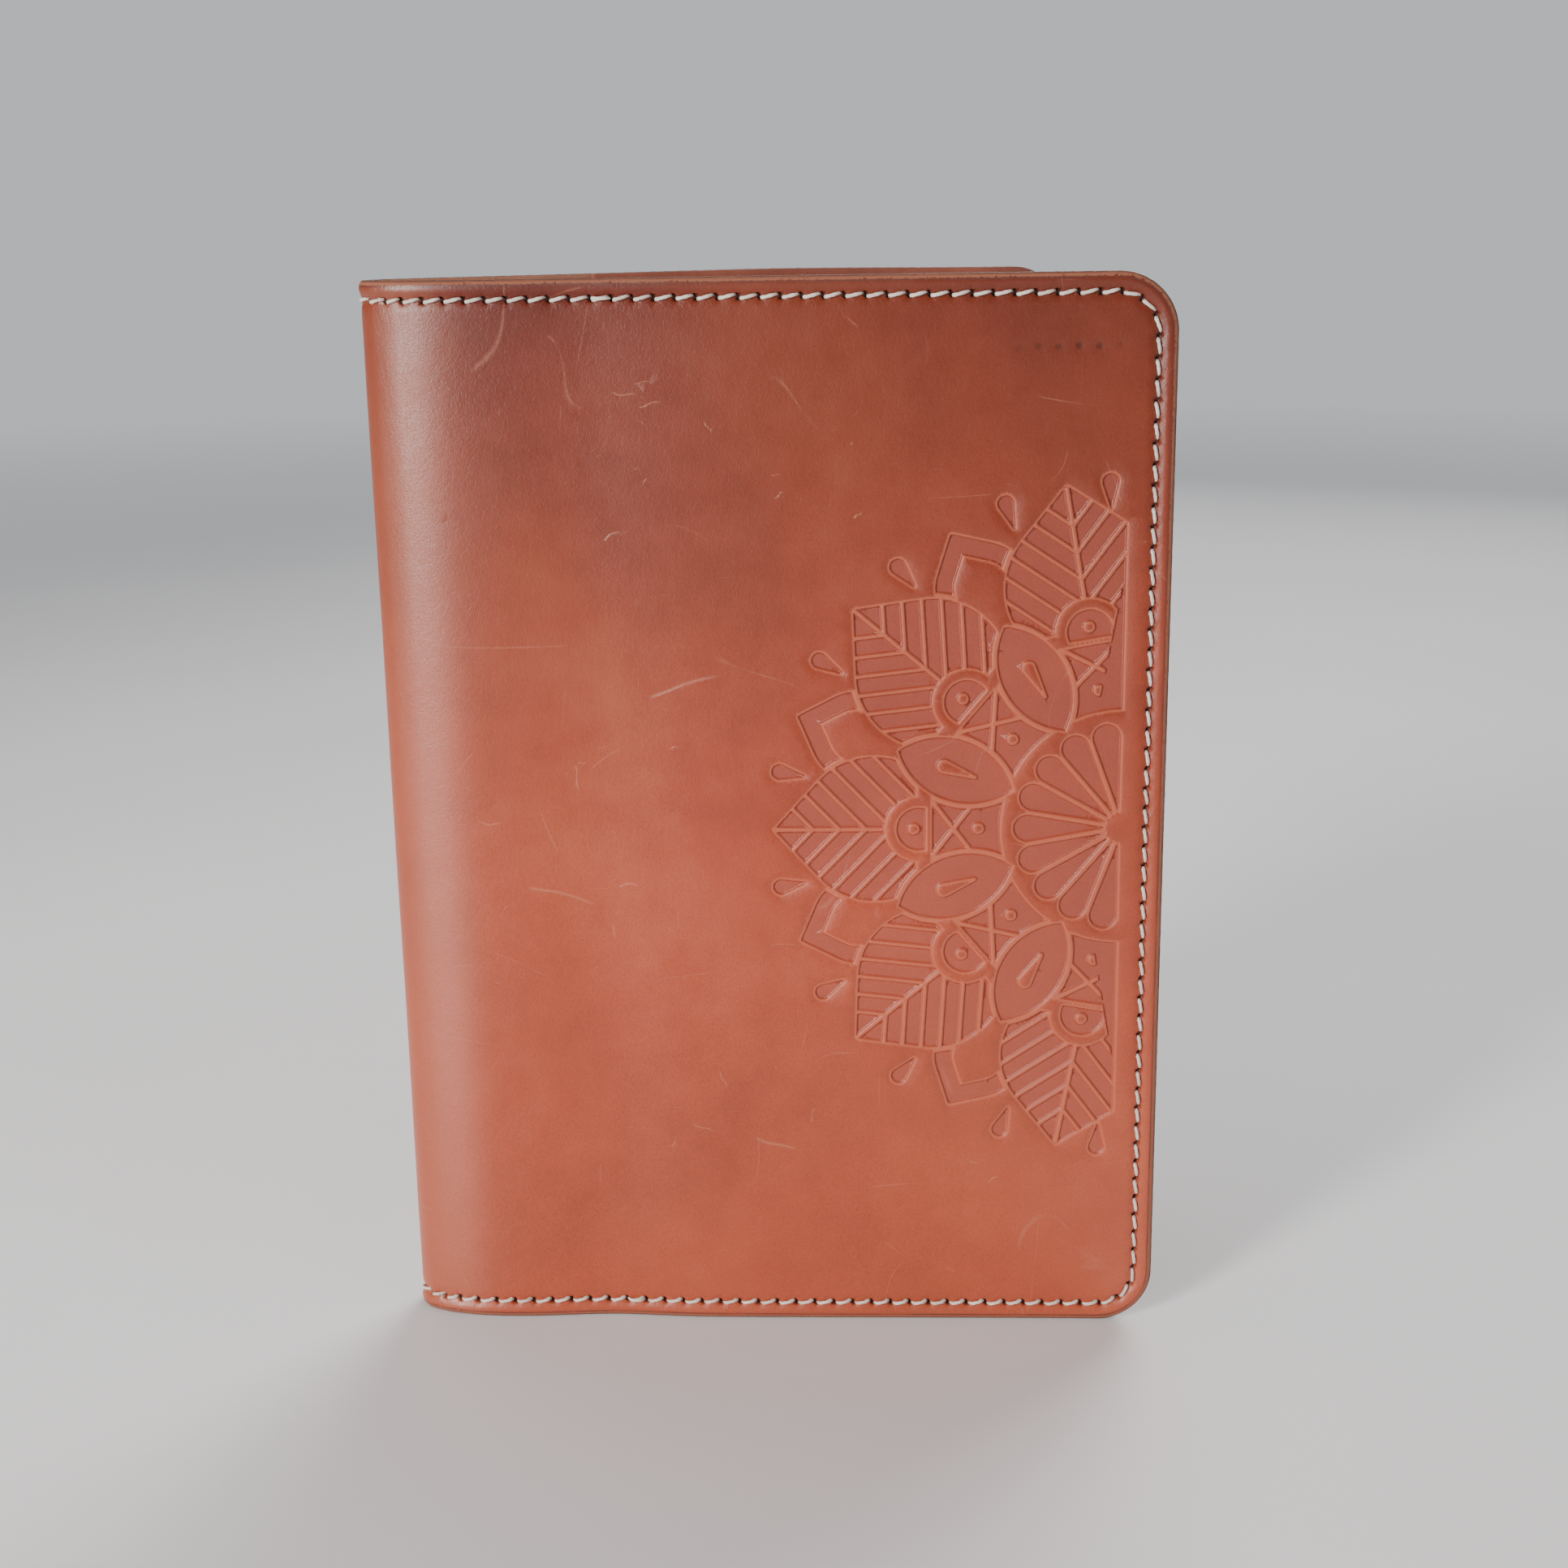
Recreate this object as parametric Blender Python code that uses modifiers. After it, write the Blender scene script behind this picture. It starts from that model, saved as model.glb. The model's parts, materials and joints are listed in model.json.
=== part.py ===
"""Leather notebook cover: one hide folded round a soft spine, a sewn board pocket in each side and two
card pockets on the front one, standing on its bottom edge with the covers a little apart.

Frame: metres, +Z up. The origin is the middle of the spine's bottom edge. The front cover faces -Y and
its fore edge is at +X. Hinge empties stand on the fold lines of the hide.
"""

import math

import bmesh
import bpy
from mathutils import Matrix, Vector

# Driving dimensions, in metres
MM = 0.001
HEIGHT = 220 * MM
COVER_WIDTH = 152.5 * MM          # last fold line to fore edge
CORNER_RADIUS = 11.5 * MM
HIDE = 2.2 * MM                   # outer leather
STRIP = 5.0 * MM                  # distance between the fold lines that share the bend
SPLAY = math.radians(25)          # angle between the covers at rest
CLOSED_TURN = math.radians(45)    # turn at one fold line when the covers are parallel
CLEARANCE = 0.3 * MM

POCKET_WIDTH = 110 * MM
POCKET_LEATHER = 1.4 * MM
BOARD_GAP = 2.2 * MM              # room for the notebook's board
POCKET_FLANGE = 6.5 * MM
POCKET_RAMP = 2.5 * MM

CARD_WIDTH = 96 * MM
CARD_HEIGHT = 50 * MM
CARD_LEATHER = 1.0 * MM
CARD_GAP = 0.9 * MM
CARD_FLANGE = 3.2 * MM
CARD_RAMP = 1.3 * MM
CARD_START = 45 * MM              # from the fold line to the card pockets
CARD_LEVELS = {"lower": 36 * MM, "upper": 124 * MM}

SEAM_MARGIN = 4.0 * MM
SEAM_START = 3.0 * MM             # first hole, from the fold line
SEAM_STITCHES = 29
CARD_SEAM_MARGIN = 1.9 * MM
CARD_SIDE_STITCHES = 3
CARD_BASE_STITCHES = 5
THREAD = 0.7 * MM
CARD_THREAD = 0.6 * MM
STITCH_HOLE = 1.3 * MM
FOLD_STITCH = 2.2 * MM            # hole to hole, on one strip of the fold

# Derived dimensions
TURN = (math.pi - SPLAY) / 4
FOLD_BEVEL = HIDE / 2 * math.tan(CLOSED_TURN / 2)
FLANGE_MID = HIDE / 2 + CLEARANCE + POCKET_LEATHER / 2
POCKET_MID = HIDE / 2 + BOARD_GAP + POCKET_LEATHER / 2
POCKET_FACE = POCKET_MID + POCKET_LEATHER / 2
CARD_FLANGE_MID = POCKET_FACE + CLEARANCE + CARD_LEATHER / 2
CARD_MID = POCKET_FACE + CARD_GAP + CARD_LEATHER / 2
POCKET_START = COVER_WIDTH - POCKET_WIDTH
ARC_STEPS = 5
HOLE_SIDES = 8
CUTTER_DEPTH = 60 * MM            # reach of a cutter that passes right through the leather

INWARD_FRONT = 1                  # the inside of the cover is on local +Y
INWARD_BACK = -1

TAN = (0.45, 0.14, 0.085, 1.0)
LINING = (0.36, 0.12, 0.07, 1.0)
CARD_TAN = (0.40, 0.13, 0.075, 1.0)
CREAM = (0.83, 0.79, 0.70, 1.0)


def clear_scene():
    for thing in list(bpy.data.objects):
        bpy.data.objects.remove(thing)


def new_collection(name):
    made = bpy.data.collections.new(name)
    bpy.context.scene.collection.children.link(made)
    return made


def new_material(name, colour, roughness):
    made = bpy.data.materials.new(name)
    made.use_nodes = True
    shader = made.node_tree.nodes["Principled BSDF"]
    shader.inputs["Base Color"].default_value = colour
    shader.inputs["Roughness"].default_value = roughness
    shader.inputs["Metallic"].default_value = 0.0
    return made


def heading(angle):
    return Vector((math.cos(angle), math.sin(angle), 0.0))


def new_hinge(name, place, angle, parent=None):
    """An empty on a fold line, with its X axis along the leather that it carries."""
    empty = bpy.data.objects.new(name, None)
    empty.empty_display_size = 10 * MM
    parts.objects.link(empty)
    empty.matrix_world = Matrix.Translation(place) @ Matrix.Rotation(angle, 4, "Z")
    bpy.context.view_layer.update()
    if parent is not None:
        world = empty.matrix_world.copy()
        empty.parent = parent
        empty.matrix_world = world
    return empty


def place_part(name, mesh, hinge, material):
    """A finished mesh, given in its hinge's frame, becomes a named part."""
    made = bpy.data.objects.new(name, mesh)
    parts.objects.link(made)
    made.parent = hinge
    mesh.materials.clear()
    mesh.materials.append(material)
    return made


def place_cutter(name, mesh, hinge):
    made = bpy.data.objects.new(name, mesh)
    cutters.objects.link(made)
    made.parent = hinge
    made.hide_render = True
    made.display_type = "WIRE"
    return made


def mesh_of_curve(curve, turn=Matrix.Identity(4)):
    """The closed mesh of a curve object's data, with its caps welded on."""
    holder = bpy.data.objects.new("outline", curve)
    bpy.context.scene.collection.objects.link(holder)
    bpy.context.view_layer.update()
    evaluated = holder.evaluated_get(bpy.context.evaluated_depsgraph_get())
    mesh = bpy.data.meshes.new_from_object(evaluated)
    bpy.data.objects.remove(holder)
    work = bmesh.new()
    work.from_mesh(mesh)
    bmesh.ops.remove_doubles(work, verts=work.verts, dist=0.00001)
    bmesh.ops.recalc_face_normals(work, faces=work.faces)
    bmesh.ops.transform(work, matrix=turn, verts=work.verts)
    work.to_mesh(mesh)
    work.free()
    return mesh


def prism(outline, depth, turn=Matrix.Identity(4)):
    """A flat outline in XY, filled and extruded to depth about its own plane."""
    curve = bpy.data.curves.new("outline", "CURVE")
    curve.dimensions = "2D"
    curve.fill_mode = "BOTH"
    curve.extrude = depth / 2
    spline = curve.splines.new("POLY")
    spline.points.add(len(outline) - 1)
    for point, (x, y) in zip(spline.points, outline):
        point.co = (x, y, 0.0, 1.0)
    spline.use_cyclic_u = True
    return mesh_of_curve(curve, turn)


def tube(path, diameter, closed):
    """A thread along a path of 3-D points."""
    curve = bpy.data.curves.new("thread", "CURVE")
    curve.dimensions = "3D"
    curve.bevel_depth = diameter / 2
    curve.bevel_resolution = 1
    curve.use_fill_caps = not closed
    spline = curve.splines.new("POLY")
    spline.points.add(len(path) - 1)
    for point, place in zip(spline.points, path):
        point.co = (*place, 1.0)
    spline.use_cyclic_u = closed
    return mesh_of_curve(curve)


def arc(centre, radius, start, end, steps=ARC_STEPS):
    cx, cy = centre
    angles = [start + (end - start) * i / steps for i in range(steps + 1)]
    return [(cx + radius * math.cos(a), cy + radius * math.sin(a)) for a in angles]


def cover_outline(inset, start):
    """The upright outline of a cover: square at the fold, round at the two fore corners."""
    radius = CORNER_RADIUS - inset
    centre = COVER_WIDTH - CORNER_RADIUS
    lower = arc((centre, CORNER_RADIUS), radius, -math.pi / 2, 0)
    upper = arc((centre, HEIGHT - CORNER_RADIUS), radius, 0, math.pi / 2)
    return [(start, inset)] + lower + upper + [(start, HEIGHT - inset)]


STAND_UP = Matrix.Rotation(math.pi / 2, 4, "X")


def through_holes(places, name, hinge):
    """Round cutters through the leather at each (x, z), as one object."""
    work = bmesh.new()
    for x, z in places:
        spot = Matrix.Translation((x, 0.0, z)) @ STAND_UP
        bmesh.ops.create_cone(work, cap_ends=True, segments=HOLE_SIDES, radius1=STITCH_HOLE / 2,
                              radius2=STITCH_HOLE / 2, depth=CUTTER_DEPTH, matrix=spot)
    mesh = bpy.data.meshes.new(name)
    work.to_mesh(mesh)
    work.free()
    return place_cutter(name, mesh, hinge)


def cut(part, cutter, operation="DIFFERENCE"):
    step = part.modifiers.new(cutter.name, "BOOLEAN")
    step.operation = operation
    step.object = cutter
    step.solver = "EXACT"


def strip_outline(start, end, inward, open_end):
    """Plan section of a strip of hide between two fold lines, narrowed inside so that it can bend."""
    gap = CLEARANCE / 2
    outer = -inward * HIDE / 2
    inner = inward * HIDE / 2
    lead = start + gap
    tail = end if open_end else end - gap
    far_end = [(tail, outer), (tail, inner)]
    if not open_end:
        far_end = [(tail, outer), (tail, 0.0), (tail - FOLD_BEVEL, inner)]
    return [(lead, outer)] + far_end + [(lead + FOLD_BEVEL, inner), (lead, 0.0)]


def upright(outline):
    """A plan outline raised to the full height of the cover."""
    return prism(outline, HEIGHT, Matrix.Translation((0.0, 0.0, HEIGHT / 2)))


def seam_path():
    """Straights and round corners that the perimeter seam follows, as points (x, z)."""
    radius = CORNER_RADIUS - SEAM_MARGIN
    centre = COVER_WIDTH - CORNER_RADIUS
    top = HEIGHT - SEAM_MARGIN
    upper = arc((centre, HEIGHT - CORNER_RADIUS), radius, math.pi / 2, 0, 12)
    lower = arc((centre, CORNER_RADIUS), radius, 0, -math.pi / 2, 12)
    return [(SEAM_START, top)] + upper + lower + [(SEAM_START, SEAM_MARGIN)]


def stations(path, count):
    """Points at equal distances along a path, count steps apart."""
    spans = [math.dist(a, b) for a, b in zip(path, path[1:])]
    step = sum(spans) / count
    found = []
    for i in range(count + 1):
        left = min(i * step, sum(spans))
        for a, b, span in zip(path, path[1:], spans):
            if left <= span + 1e-9:
                found.append((a[0] + (b[0] - a[0]) * left / span, a[1] + (b[1] - a[1]) * left / span))
                break
            left -= span
    return found


def woven_path(holes, near, far):
    """A running stitch: through each hole, then along one face and the other by turns.

    near(x, z) and far(x, z) give the thread's level on the two faces of the leather."""
    path = []
    on_near = False
    for x, z in holes:
        first, second = (near, far) if on_near else (far, near)
        path.append((x, first(x, z), z))
        path.append((x, second(x, z), z))
        on_near = not on_near
    return path


def pressed_sheet(columns, rows, level):
    """An open sheet over a grid of x and z lines, with its height given by level(x, z)."""
    work = bmesh.new()
    across = len(columns) - 1
    up = len(rows) - 1
    bmesh.ops.create_grid(work, x_segments=across, y_segments=up, size=0.5)
    for vert in work.verts:
        x = columns[round((vert.co.x + 0.5) * across)]
        z = rows[round((vert.co.y + 0.5) * up)]
        vert.co = (x, level(x, z), z)
    mesh = bpy.data.meshes.new("sheet")
    work.to_mesh(mesh)
    work.free()
    return mesh


def thicken(part, thickness):
    step = part.modifiers.new("thickness", "SOLIDIFY")
    step.thickness = thickness
    step.offset = 0.0


def make_cover(name, hinge, inward, holes):
    plan = strip_outline(0.0, COVER_WIDTH, inward, open_end=True)
    cover = place_part(name, upright(plan), hinge, tan)
    shape = prism(cover_outline(0.0, -10 * MM), CUTTER_DEPTH, STAND_UP)
    cut(cover, place_cutter(name + "_shape", shape, hinge), "INTERSECT")
    cut(cover, holes)
    return cover


def make_pocket(name, hinge, inward, holes):
    """A board pocket: a tray of leather, flat where it is sewn and raised where the board goes."""
    raised_end = COVER_WIDTH - POCKET_FLANGE - POCKET_RAMP
    low = POCKET_FLANGE + POCKET_RAMP
    columns = [POCKET_START, raised_end, raised_end + POCKET_RAMP, COVER_WIDTH]
    rows = [0.0, POCKET_FLANGE, low, HEIGHT - low, HEIGHT - POCKET_FLANGE, HEIGHT]

    def level(x, z):
        raised = x < raised_end + MM and low - MM < z < HEIGHT - low + MM
        return inward * (POCKET_MID if raised else FLANGE_MID)

    pocket = place_part(name, pressed_sheet(columns, rows, level), hinge, lining)
    thicken(pocket, POCKET_LEATHER)
    shape = prism(cover_outline(CLEARANCE, 0.0), CUTTER_DEPTH, STAND_UP)
    cut(pocket, place_cutter(name + "_shape", shape, hinge), "INTERSECT")
    cut(pocket, holes)
    return pocket


def make_cover_thread(name, hinge, inward, places):
    outside = HIDE / 2 + CLEARANCE + THREAD / 2
    on_hide = outside
    on_pocket = FLANGE_MID + POCKET_LEATHER / 2 + CLEARANCE + THREAD / 2
    path = woven_path(places, lambda x, z: -inward * outside,
                      lambda x, z: inward * (on_pocket if x > POCKET_START else on_hide))
    return place_part(name, tube(path, THREAD, closed=False), hinge, waxed_thread)


def card_holes(level):
    """Holes down one side of a card pocket, along its base and up the other side."""
    left = CARD_START + CARD_SEAM_MARGIN
    right = CARD_START + CARD_WIDTH - CARD_SEAM_MARGIN
    top = level + CARD_HEIGHT - CARD_SEAM_MARGIN
    bottom = level + CARD_SEAM_MARGIN
    down = stations([(left, top), (left, bottom)], CARD_SIDE_STITCHES)
    along = stations([(left, bottom), (right, bottom)], CARD_BASE_STITCHES)
    up = stations([(right, bottom), (right, top)], CARD_SIDE_STITCHES)
    return down + along[1:] + up[1:]


def make_card_pocket(name, hinge, level, holes):
    """A patch pocket, open at its top, on the inside face of the front board pocket."""
    right = CARD_START + CARD_WIDTH
    step = CARD_FLANGE + CARD_RAMP
    columns = [CARD_START, CARD_START + CARD_FLANGE, CARD_START + step,
               right - step, right - CARD_FLANGE, right]
    rows = [level, level + CARD_FLANGE, level + step, level + CARD_HEIGHT]

    def raised_level(x, z):
        raised = CARD_START + step - MM / 2 < x < right - step + MM / 2 and z > level + step - MM / 2
        return CARD_MID if raised else CARD_FLANGE_MID

    pocket = place_part(name, pressed_sheet(columns, rows, raised_level), hinge, card_leather)
    thicken(pocket, CARD_LEATHER)
    cut(pocket, holes)
    return pocket


def make_card_thread(name, hinge, places):
    face = CARD_FLANGE_MID + CARD_LEATHER / 2 + CLEARANCE + CARD_THREAD / 2
    behind = POCKET_FACE - POCKET_LEATHER - CLEARANCE - CARD_THREAD / 2
    path = woven_path(places, lambda x, z: face, lambda x, z: behind)
    return place_part(name, tube(path, CARD_THREAD, closed=False), hinge, waxed_thread)


def make_strip(name, hinge, inward, start):
    """One strip of the fold, with a stitch at its top and one at its bottom."""
    middle = start + STRIP / 2
    levels = {"top": HEIGHT - SEAM_MARGIN, "bottom": SEAM_MARGIN}
    places = [(middle + side * FOLD_STITCH / 2, z) for z in levels.values() for side in (-1, 1)]
    outline = strip_outline(start, start + STRIP, inward, open_end=False)
    strip = place_part(name, upright(outline), hinge, tan)
    cut(strip, through_holes(places, name + "_holes", hinge))
    reach = HIDE / 2 + CLEARANCE + THREAD / 2
    for end, z in levels.items():
        half = FOLD_STITCH / 2
        ring = [(middle - half, -reach, z), (middle + half, -reach, z),
                (middle + half, reach, z), (middle - half, reach, z)]
        place_part(name + "_stitch_" + end, tube(ring, THREAD, closed=True), hinge, waxed_thread)
    return strip


clear_scene()
parts = new_collection("notebook_cover")
cutters = new_collection("cutters")
tan = new_material("tan_leather", TAN, 0.5)
lining = new_material("lining_leather", LINING, 0.6)
card_leather = new_material("card_pocket_leather", CARD_TAN, 0.6)
waxed_thread = new_material("waxed_thread", CREAM, 0.55)

# Fold lines, from the front cover round to the back cover
spine_angle = math.pi - 2 * TURN
line_front_spine = -STRIP / 2 * heading(spine_angle)
line_back_spine = STRIP / 2 * heading(spine_angle)
line_front_cover = line_front_spine - STRIP * heading(spine_angle + TURN)
line_back_cover = line_back_spine + STRIP * heading(spine_angle - TURN)

hinge_spine = new_hinge("frame_spine", Vector((0.0, 0.0, 0.0)), spine_angle - math.pi)
hinge_front_fold = new_hinge("hinge_front_fold", line_front_spine, -TURN, hinge_spine)
hinge_front_cover = new_hinge("hinge_front_cover", line_front_cover, 0.0, hinge_front_fold)
hinge_back_fold = new_hinge("hinge_back_fold", line_back_spine, spine_angle - TURN, hinge_spine)
hinge_back_cover = new_hinge("hinge_back_cover", line_back_cover, SPLAY, hinge_back_fold)

make_strip("spine_panel", hinge_spine, INWARD_FRONT, -STRIP / 2)
make_strip("front_fold", hinge_front_fold, INWARD_FRONT, 0.0)
make_strip("back_fold", hinge_back_fold, INWARD_BACK, 0.0)

seam_places = stations(seam_path(), SEAM_STITCHES)
front_holes = through_holes(seam_places, "front_seam_holes", hinge_front_cover)
back_holes = through_holes(seam_places, "back_seam_holes", hinge_back_cover)
make_cover("front_cover", hinge_front_cover, INWARD_FRONT, front_holes)
make_cover("back_cover", hinge_back_cover, INWARD_BACK, back_holes)
front_pocket = make_pocket("front_pocket", hinge_front_cover, INWARD_FRONT, front_holes)
make_pocket("back_pocket", hinge_back_cover, INWARD_BACK, back_holes)
make_cover_thread("front_seam_thread", hinge_front_cover, INWARD_FRONT, seam_places)
make_cover_thread("back_seam_thread", hinge_back_cover, INWARD_BACK, seam_places)

for position, base in CARD_LEVELS.items():
    hole_places = card_holes(base)
    holes_here = through_holes(hole_places, "card_holes_" + position, hinge_front_cover)
    make_card_pocket("card_pocket_" + position, hinge_front_cover, base, holes_here)
    make_card_thread("card_thread_" + position, hinge_front_cover, hole_places)
    cut(front_pocket, holes_here)
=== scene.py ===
import json
import math

import bpy
import numpy as np
from mathutils import Matrix, Vector
from mathutils.geometry import delaunay_2d_cdt


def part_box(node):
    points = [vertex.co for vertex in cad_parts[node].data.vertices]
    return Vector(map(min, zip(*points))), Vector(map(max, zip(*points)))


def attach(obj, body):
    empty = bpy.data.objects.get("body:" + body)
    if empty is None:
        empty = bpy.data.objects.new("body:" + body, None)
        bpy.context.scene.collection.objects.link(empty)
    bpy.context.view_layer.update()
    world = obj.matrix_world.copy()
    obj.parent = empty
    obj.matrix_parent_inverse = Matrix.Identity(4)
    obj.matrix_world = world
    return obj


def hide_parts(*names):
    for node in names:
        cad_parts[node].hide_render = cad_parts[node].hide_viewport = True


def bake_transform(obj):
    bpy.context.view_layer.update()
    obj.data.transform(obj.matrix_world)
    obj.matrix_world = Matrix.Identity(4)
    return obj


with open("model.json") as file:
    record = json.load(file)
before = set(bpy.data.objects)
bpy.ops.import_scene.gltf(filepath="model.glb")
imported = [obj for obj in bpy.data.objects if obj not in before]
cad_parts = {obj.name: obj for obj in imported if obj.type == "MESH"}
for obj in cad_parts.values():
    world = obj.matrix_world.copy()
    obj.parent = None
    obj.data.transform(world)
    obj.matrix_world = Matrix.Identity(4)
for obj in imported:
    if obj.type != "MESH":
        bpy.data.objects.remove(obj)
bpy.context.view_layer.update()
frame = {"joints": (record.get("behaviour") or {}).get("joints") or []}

# Lengths are in millimetres on the unrolled hide until a mesh is made:
# s runs round the hide from the front fore edge (negative) to the back one, z is height,
# n is the distance outward from the middle of the hide's thickness.
MM = 0.001
HEIGHT = (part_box("front_cover")[1].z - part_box("front_cover")[0].z) / MM
HALF_HIDE = 1.1
CORNER = 11.5
SEAM_IN = 3.7
STITCH_PITCH = 4.07
THREAD = 0.35
THREAD_TAPER = 0.30
CARD_THREAD = 0.30
OVERSEWN_U = 42.8
STRIP = 5.0
BACK_SAG = 1.1
HALF_STRIP = STRIP / 2
RNG = np.random.default_rng(7)


def columns(*values):
    return np.stack(values, 1)


def row(x, y):
    """Points of a straight row; one of x and y is a single number."""
    return columns(*np.broadcast_arrays(x, y))


def arc(x, y, radius, first, last, count):
    """Points of an arc between two angles in degrees."""
    a = np.radians(np.linspace(first, last, count))
    return columns(x + radius * np.cos(a), y + radius * np.sin(a))


def circles(x, y, radii):
    a = np.arange(10) * math.pi / 5
    return [columns(x + r * np.cos(a), y + r * np.sin(a)) for r in radii]


def unit(vectors):
    return vectors / np.linalg.norm(vectors, axis=-1)[..., None]


def smooth(a, b, x):
    t = np.clip((x - a) / (b - a), 0, 1)
    return t * t * (3 - 2 * t)


def bump(x, width):
    return np.exp(-(x / width) ** 2)


# ---------------- the hide's plan curve

def hinge_point(name):
    joint = next(j for j in frame["joints"] if j["name"] == name)
    return np.array(joint["pos_m"][:2]) / MM


HINGE = [hinge_point(n) for n in ("front_cover_hinge", "front_fold_hinge",
                                 "back_fold_hinge", "back_cover_hinge")]
STEP_TURN = math.radians(38.75)
HEADING = [math.pi - STEP_TURN * k for k in range(5)]


def direction(angle):
    return np.array([math.cos(angle), math.sin(angle)])


MIDS = [HINGE[0] - direction(HEADING[0]) * HALF_STRIP]
for k in range(4):
    MIDS.append(HINGE[k] + direction(HEADING[k + 1]) * HALF_STRIP)


def plan_table():
    """Samples of s, x, y and heading round the four folds, and the s of the five joins."""
    t = np.linspace(0, 1, 201)
    share = (t + smooth(0, 1, t)) / 2
    rows, joins = [], [0.0]
    for k in range(4):
        h = HEADING[k] - STEP_TURN * share
        mid = (h[1:] + h[:-1]) / 2
        path = np.concatenate([[[0, 0]], np.cumsum(columns(np.cos(mid), np.sin(mid)), 0)])
        size = np.linalg.norm(MIDS[k + 1] - MIDS[k]) / np.linalg.norm(path[-1])
        path = path * size + MIDS[k]
        rows.append(columns(joins[-1] + t * size * 200, *path.T, h)[min(k, 1):])
        joins.append(joins[-1] + size * 200)
    s, x, y, h = np.concatenate(rows).T
    return s - joins[2], x, y, h, [j - joins[2] for j in joins]


PLAN_S, PLAN_X, PLAN_Y, PLAN_H, JOINS = plan_table()
COVER = abs(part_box("front_cover")[1].x / MM - HINGE[0][0])


def cover_u(s, front):
    """Distance from a cover's fold line, towards its fore edge."""
    return JOINS[0] + HALF_STRIP - s if front else s - JOINS[4] + HALF_STRIP


def cover_s(u, front=True):
    return JOINS[0] + HALF_STRIP - u if front else JOINS[4] - HALF_STRIP + u


S_FRONT = cover_s(COVER)
S_BACK = cover_s(COVER, False)


def softened(places, heights, width):
    """A polyline rounded off by averaging over a width."""
    s = np.arange(places[0] - 10, places[-1] + 10, 0.1)
    line = np.interp(s, places, heights)
    kernel = bump(np.arange(-3 * width, 3 * width + 0.01, 0.1), width)
    return s, np.convolve(line, kernel / kernel.sum(), "same")


# The front cover runs into the fold along a slow bend, tightening towards the spine.
SOFT_S, SOFT_N = softened(
    [-30.0, -26.0, -22.0, -19.0, -17.0, -15.0, -13.0, -11.0, -9.3, -8.0, -6.8, -5.0, -3.0, -1.0,
     0.6, 3.0, 9.0, 12.0],
    [0.0, -0.02, -0.09, -0.21, -0.34, -0.53, -0.80, -1.18, -1.60, -1.90, -1.96, -1.62, -1.02,
     -0.07, 0.56, 0.52, 0.0, 0.0], 1.8)


def wave(s, z):
    """How far a cover stands off its flat plane, outward."""
    u = cover_u(s, True)
    v = cover_u(s, False)
    front = -1.1 * bump(u - 37, 13) * (0.75 + 0.35 * np.cos(z / HEIGHT * math.pi))
    front = front + 0.5 * bump(u - 88, 34) * np.sin(z / HEIGHT * math.pi)
    front = front + 0.25 * bump(u - 150, 14) * np.cos(z / HEIGHT * 2 * math.pi + 0.6)
    swell = np.interp(s, SOFT_S, SOFT_N)
    back = -0.7 * bump(v - 38, 14) + 0.45 * bump(v - 92, 36) * np.sin(z / HEIGHT * math.pi)
    return front * smooth(4, 16, u) + back * smooth(4, 16, v) + swell


def to_world(s, n, z, flat=False):
    """Places points of the unrolled hide in the shared frame, in metres."""
    s, n, z = (np.asarray(v, float) for v in (s, n, z))
    over = np.where(s < PLAN_S[0], s - PLAN_S[0], np.where(s > PLAN_S[-1], s - PLAN_S[-1], 0))
    h = np.interp(s, PLAN_S, PLAN_H)
    x = np.interp(s, PLAN_S, PLAN_X) + over * np.cos(h)
    y = np.interp(s, PLAN_S, PLAN_Y) + over * np.sin(h)
    lift = n if flat else n + wave(s, z)
    x = x - np.sin(h) * lift
    y = y + np.cos(h) * lift
    z = z - BACK_SAG * smooth(75, 150, cover_u(s, False)) * z / HEIGHT
    return np.stack([x, y, z], -1) * MM


def round_box(across, up, r):
    """Distance inside a round-cornered box, from how far a point lies past its straight parts."""
    return r - np.hypot(np.maximum(across, 0), np.maximum(up, 0)) - np.minimum(np.maximum(across, up), 0)


def edge_distance(s, z):
    """Distance inside the outline of the whole unrolled hide."""
    return round_box(np.abs(s - (S_FRONT + S_BACK) / 2) - (S_BACK - S_FRONT) / 2 + CORNER,
                     np.abs(z - HEIGHT / 2) - HEIGHT / 2 + CORNER, CORNER)


# ---------------- the pressed half rosette

LEAF_ANGLES = range(10, 171, 40)
SEED_ANGLES = range(30, 151, 40)
PETAL_ANGLES = range(10, 171, 20)
DROP_ANGLES = [3, 20, 40, 60, 80, 100, 120, 140, 160, 177]
ROSETTE_U = 143.9
ROSETTE_Z = 110.0
ROSETTE_REACH = 76
# Drops of the rosette: place and radius of the inner end, then of the outer end.
SEED_EYE = (31.5, 0.35, 38.2, 1.45)
PETAL = (3.6, 0.12, 19.0, 2.85)
LEAF = (50.0, 15.2, 70.0, 0.35)
SEPAL = (57.0, 9.2, 69.0, 0.4)
DROP = (65.2, 0.25, 70.2, 1.65)
# Lens between two places on its axis, and its half width.
SEED = (23.4, 48.0, 6.4)
BUD_AT, BUD_RADIUS, BUD_FLAT = 41.0, 4.5, 39.6
VEIN_PITCH = 3.9
RIDGE = 1.1


def turned(x, y, degrees):
    a = math.radians(degrees)
    return x * math.sin(a) + y * math.cos(a), x * math.cos(a) - y * math.sin(a)


def drop(a, b, a1, r1, a2, r2):
    """Distance to a drop with round ends of radius r1 at a1 and r2 at a2 on the axis."""
    px, py, h = np.abs(b), a - a1, a2 - a1
    sine = (r1 - r2) / h
    cosine = math.sqrt(1 - sine * sine)
    k = cosine * py - sine * px
    low = np.hypot(px, py) - r1
    high = np.hypot(px, py - h) - r2
    return np.where(k < 0, low, np.where(k > cosine * h, high, cosine * px + sine * py - r1))


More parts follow.
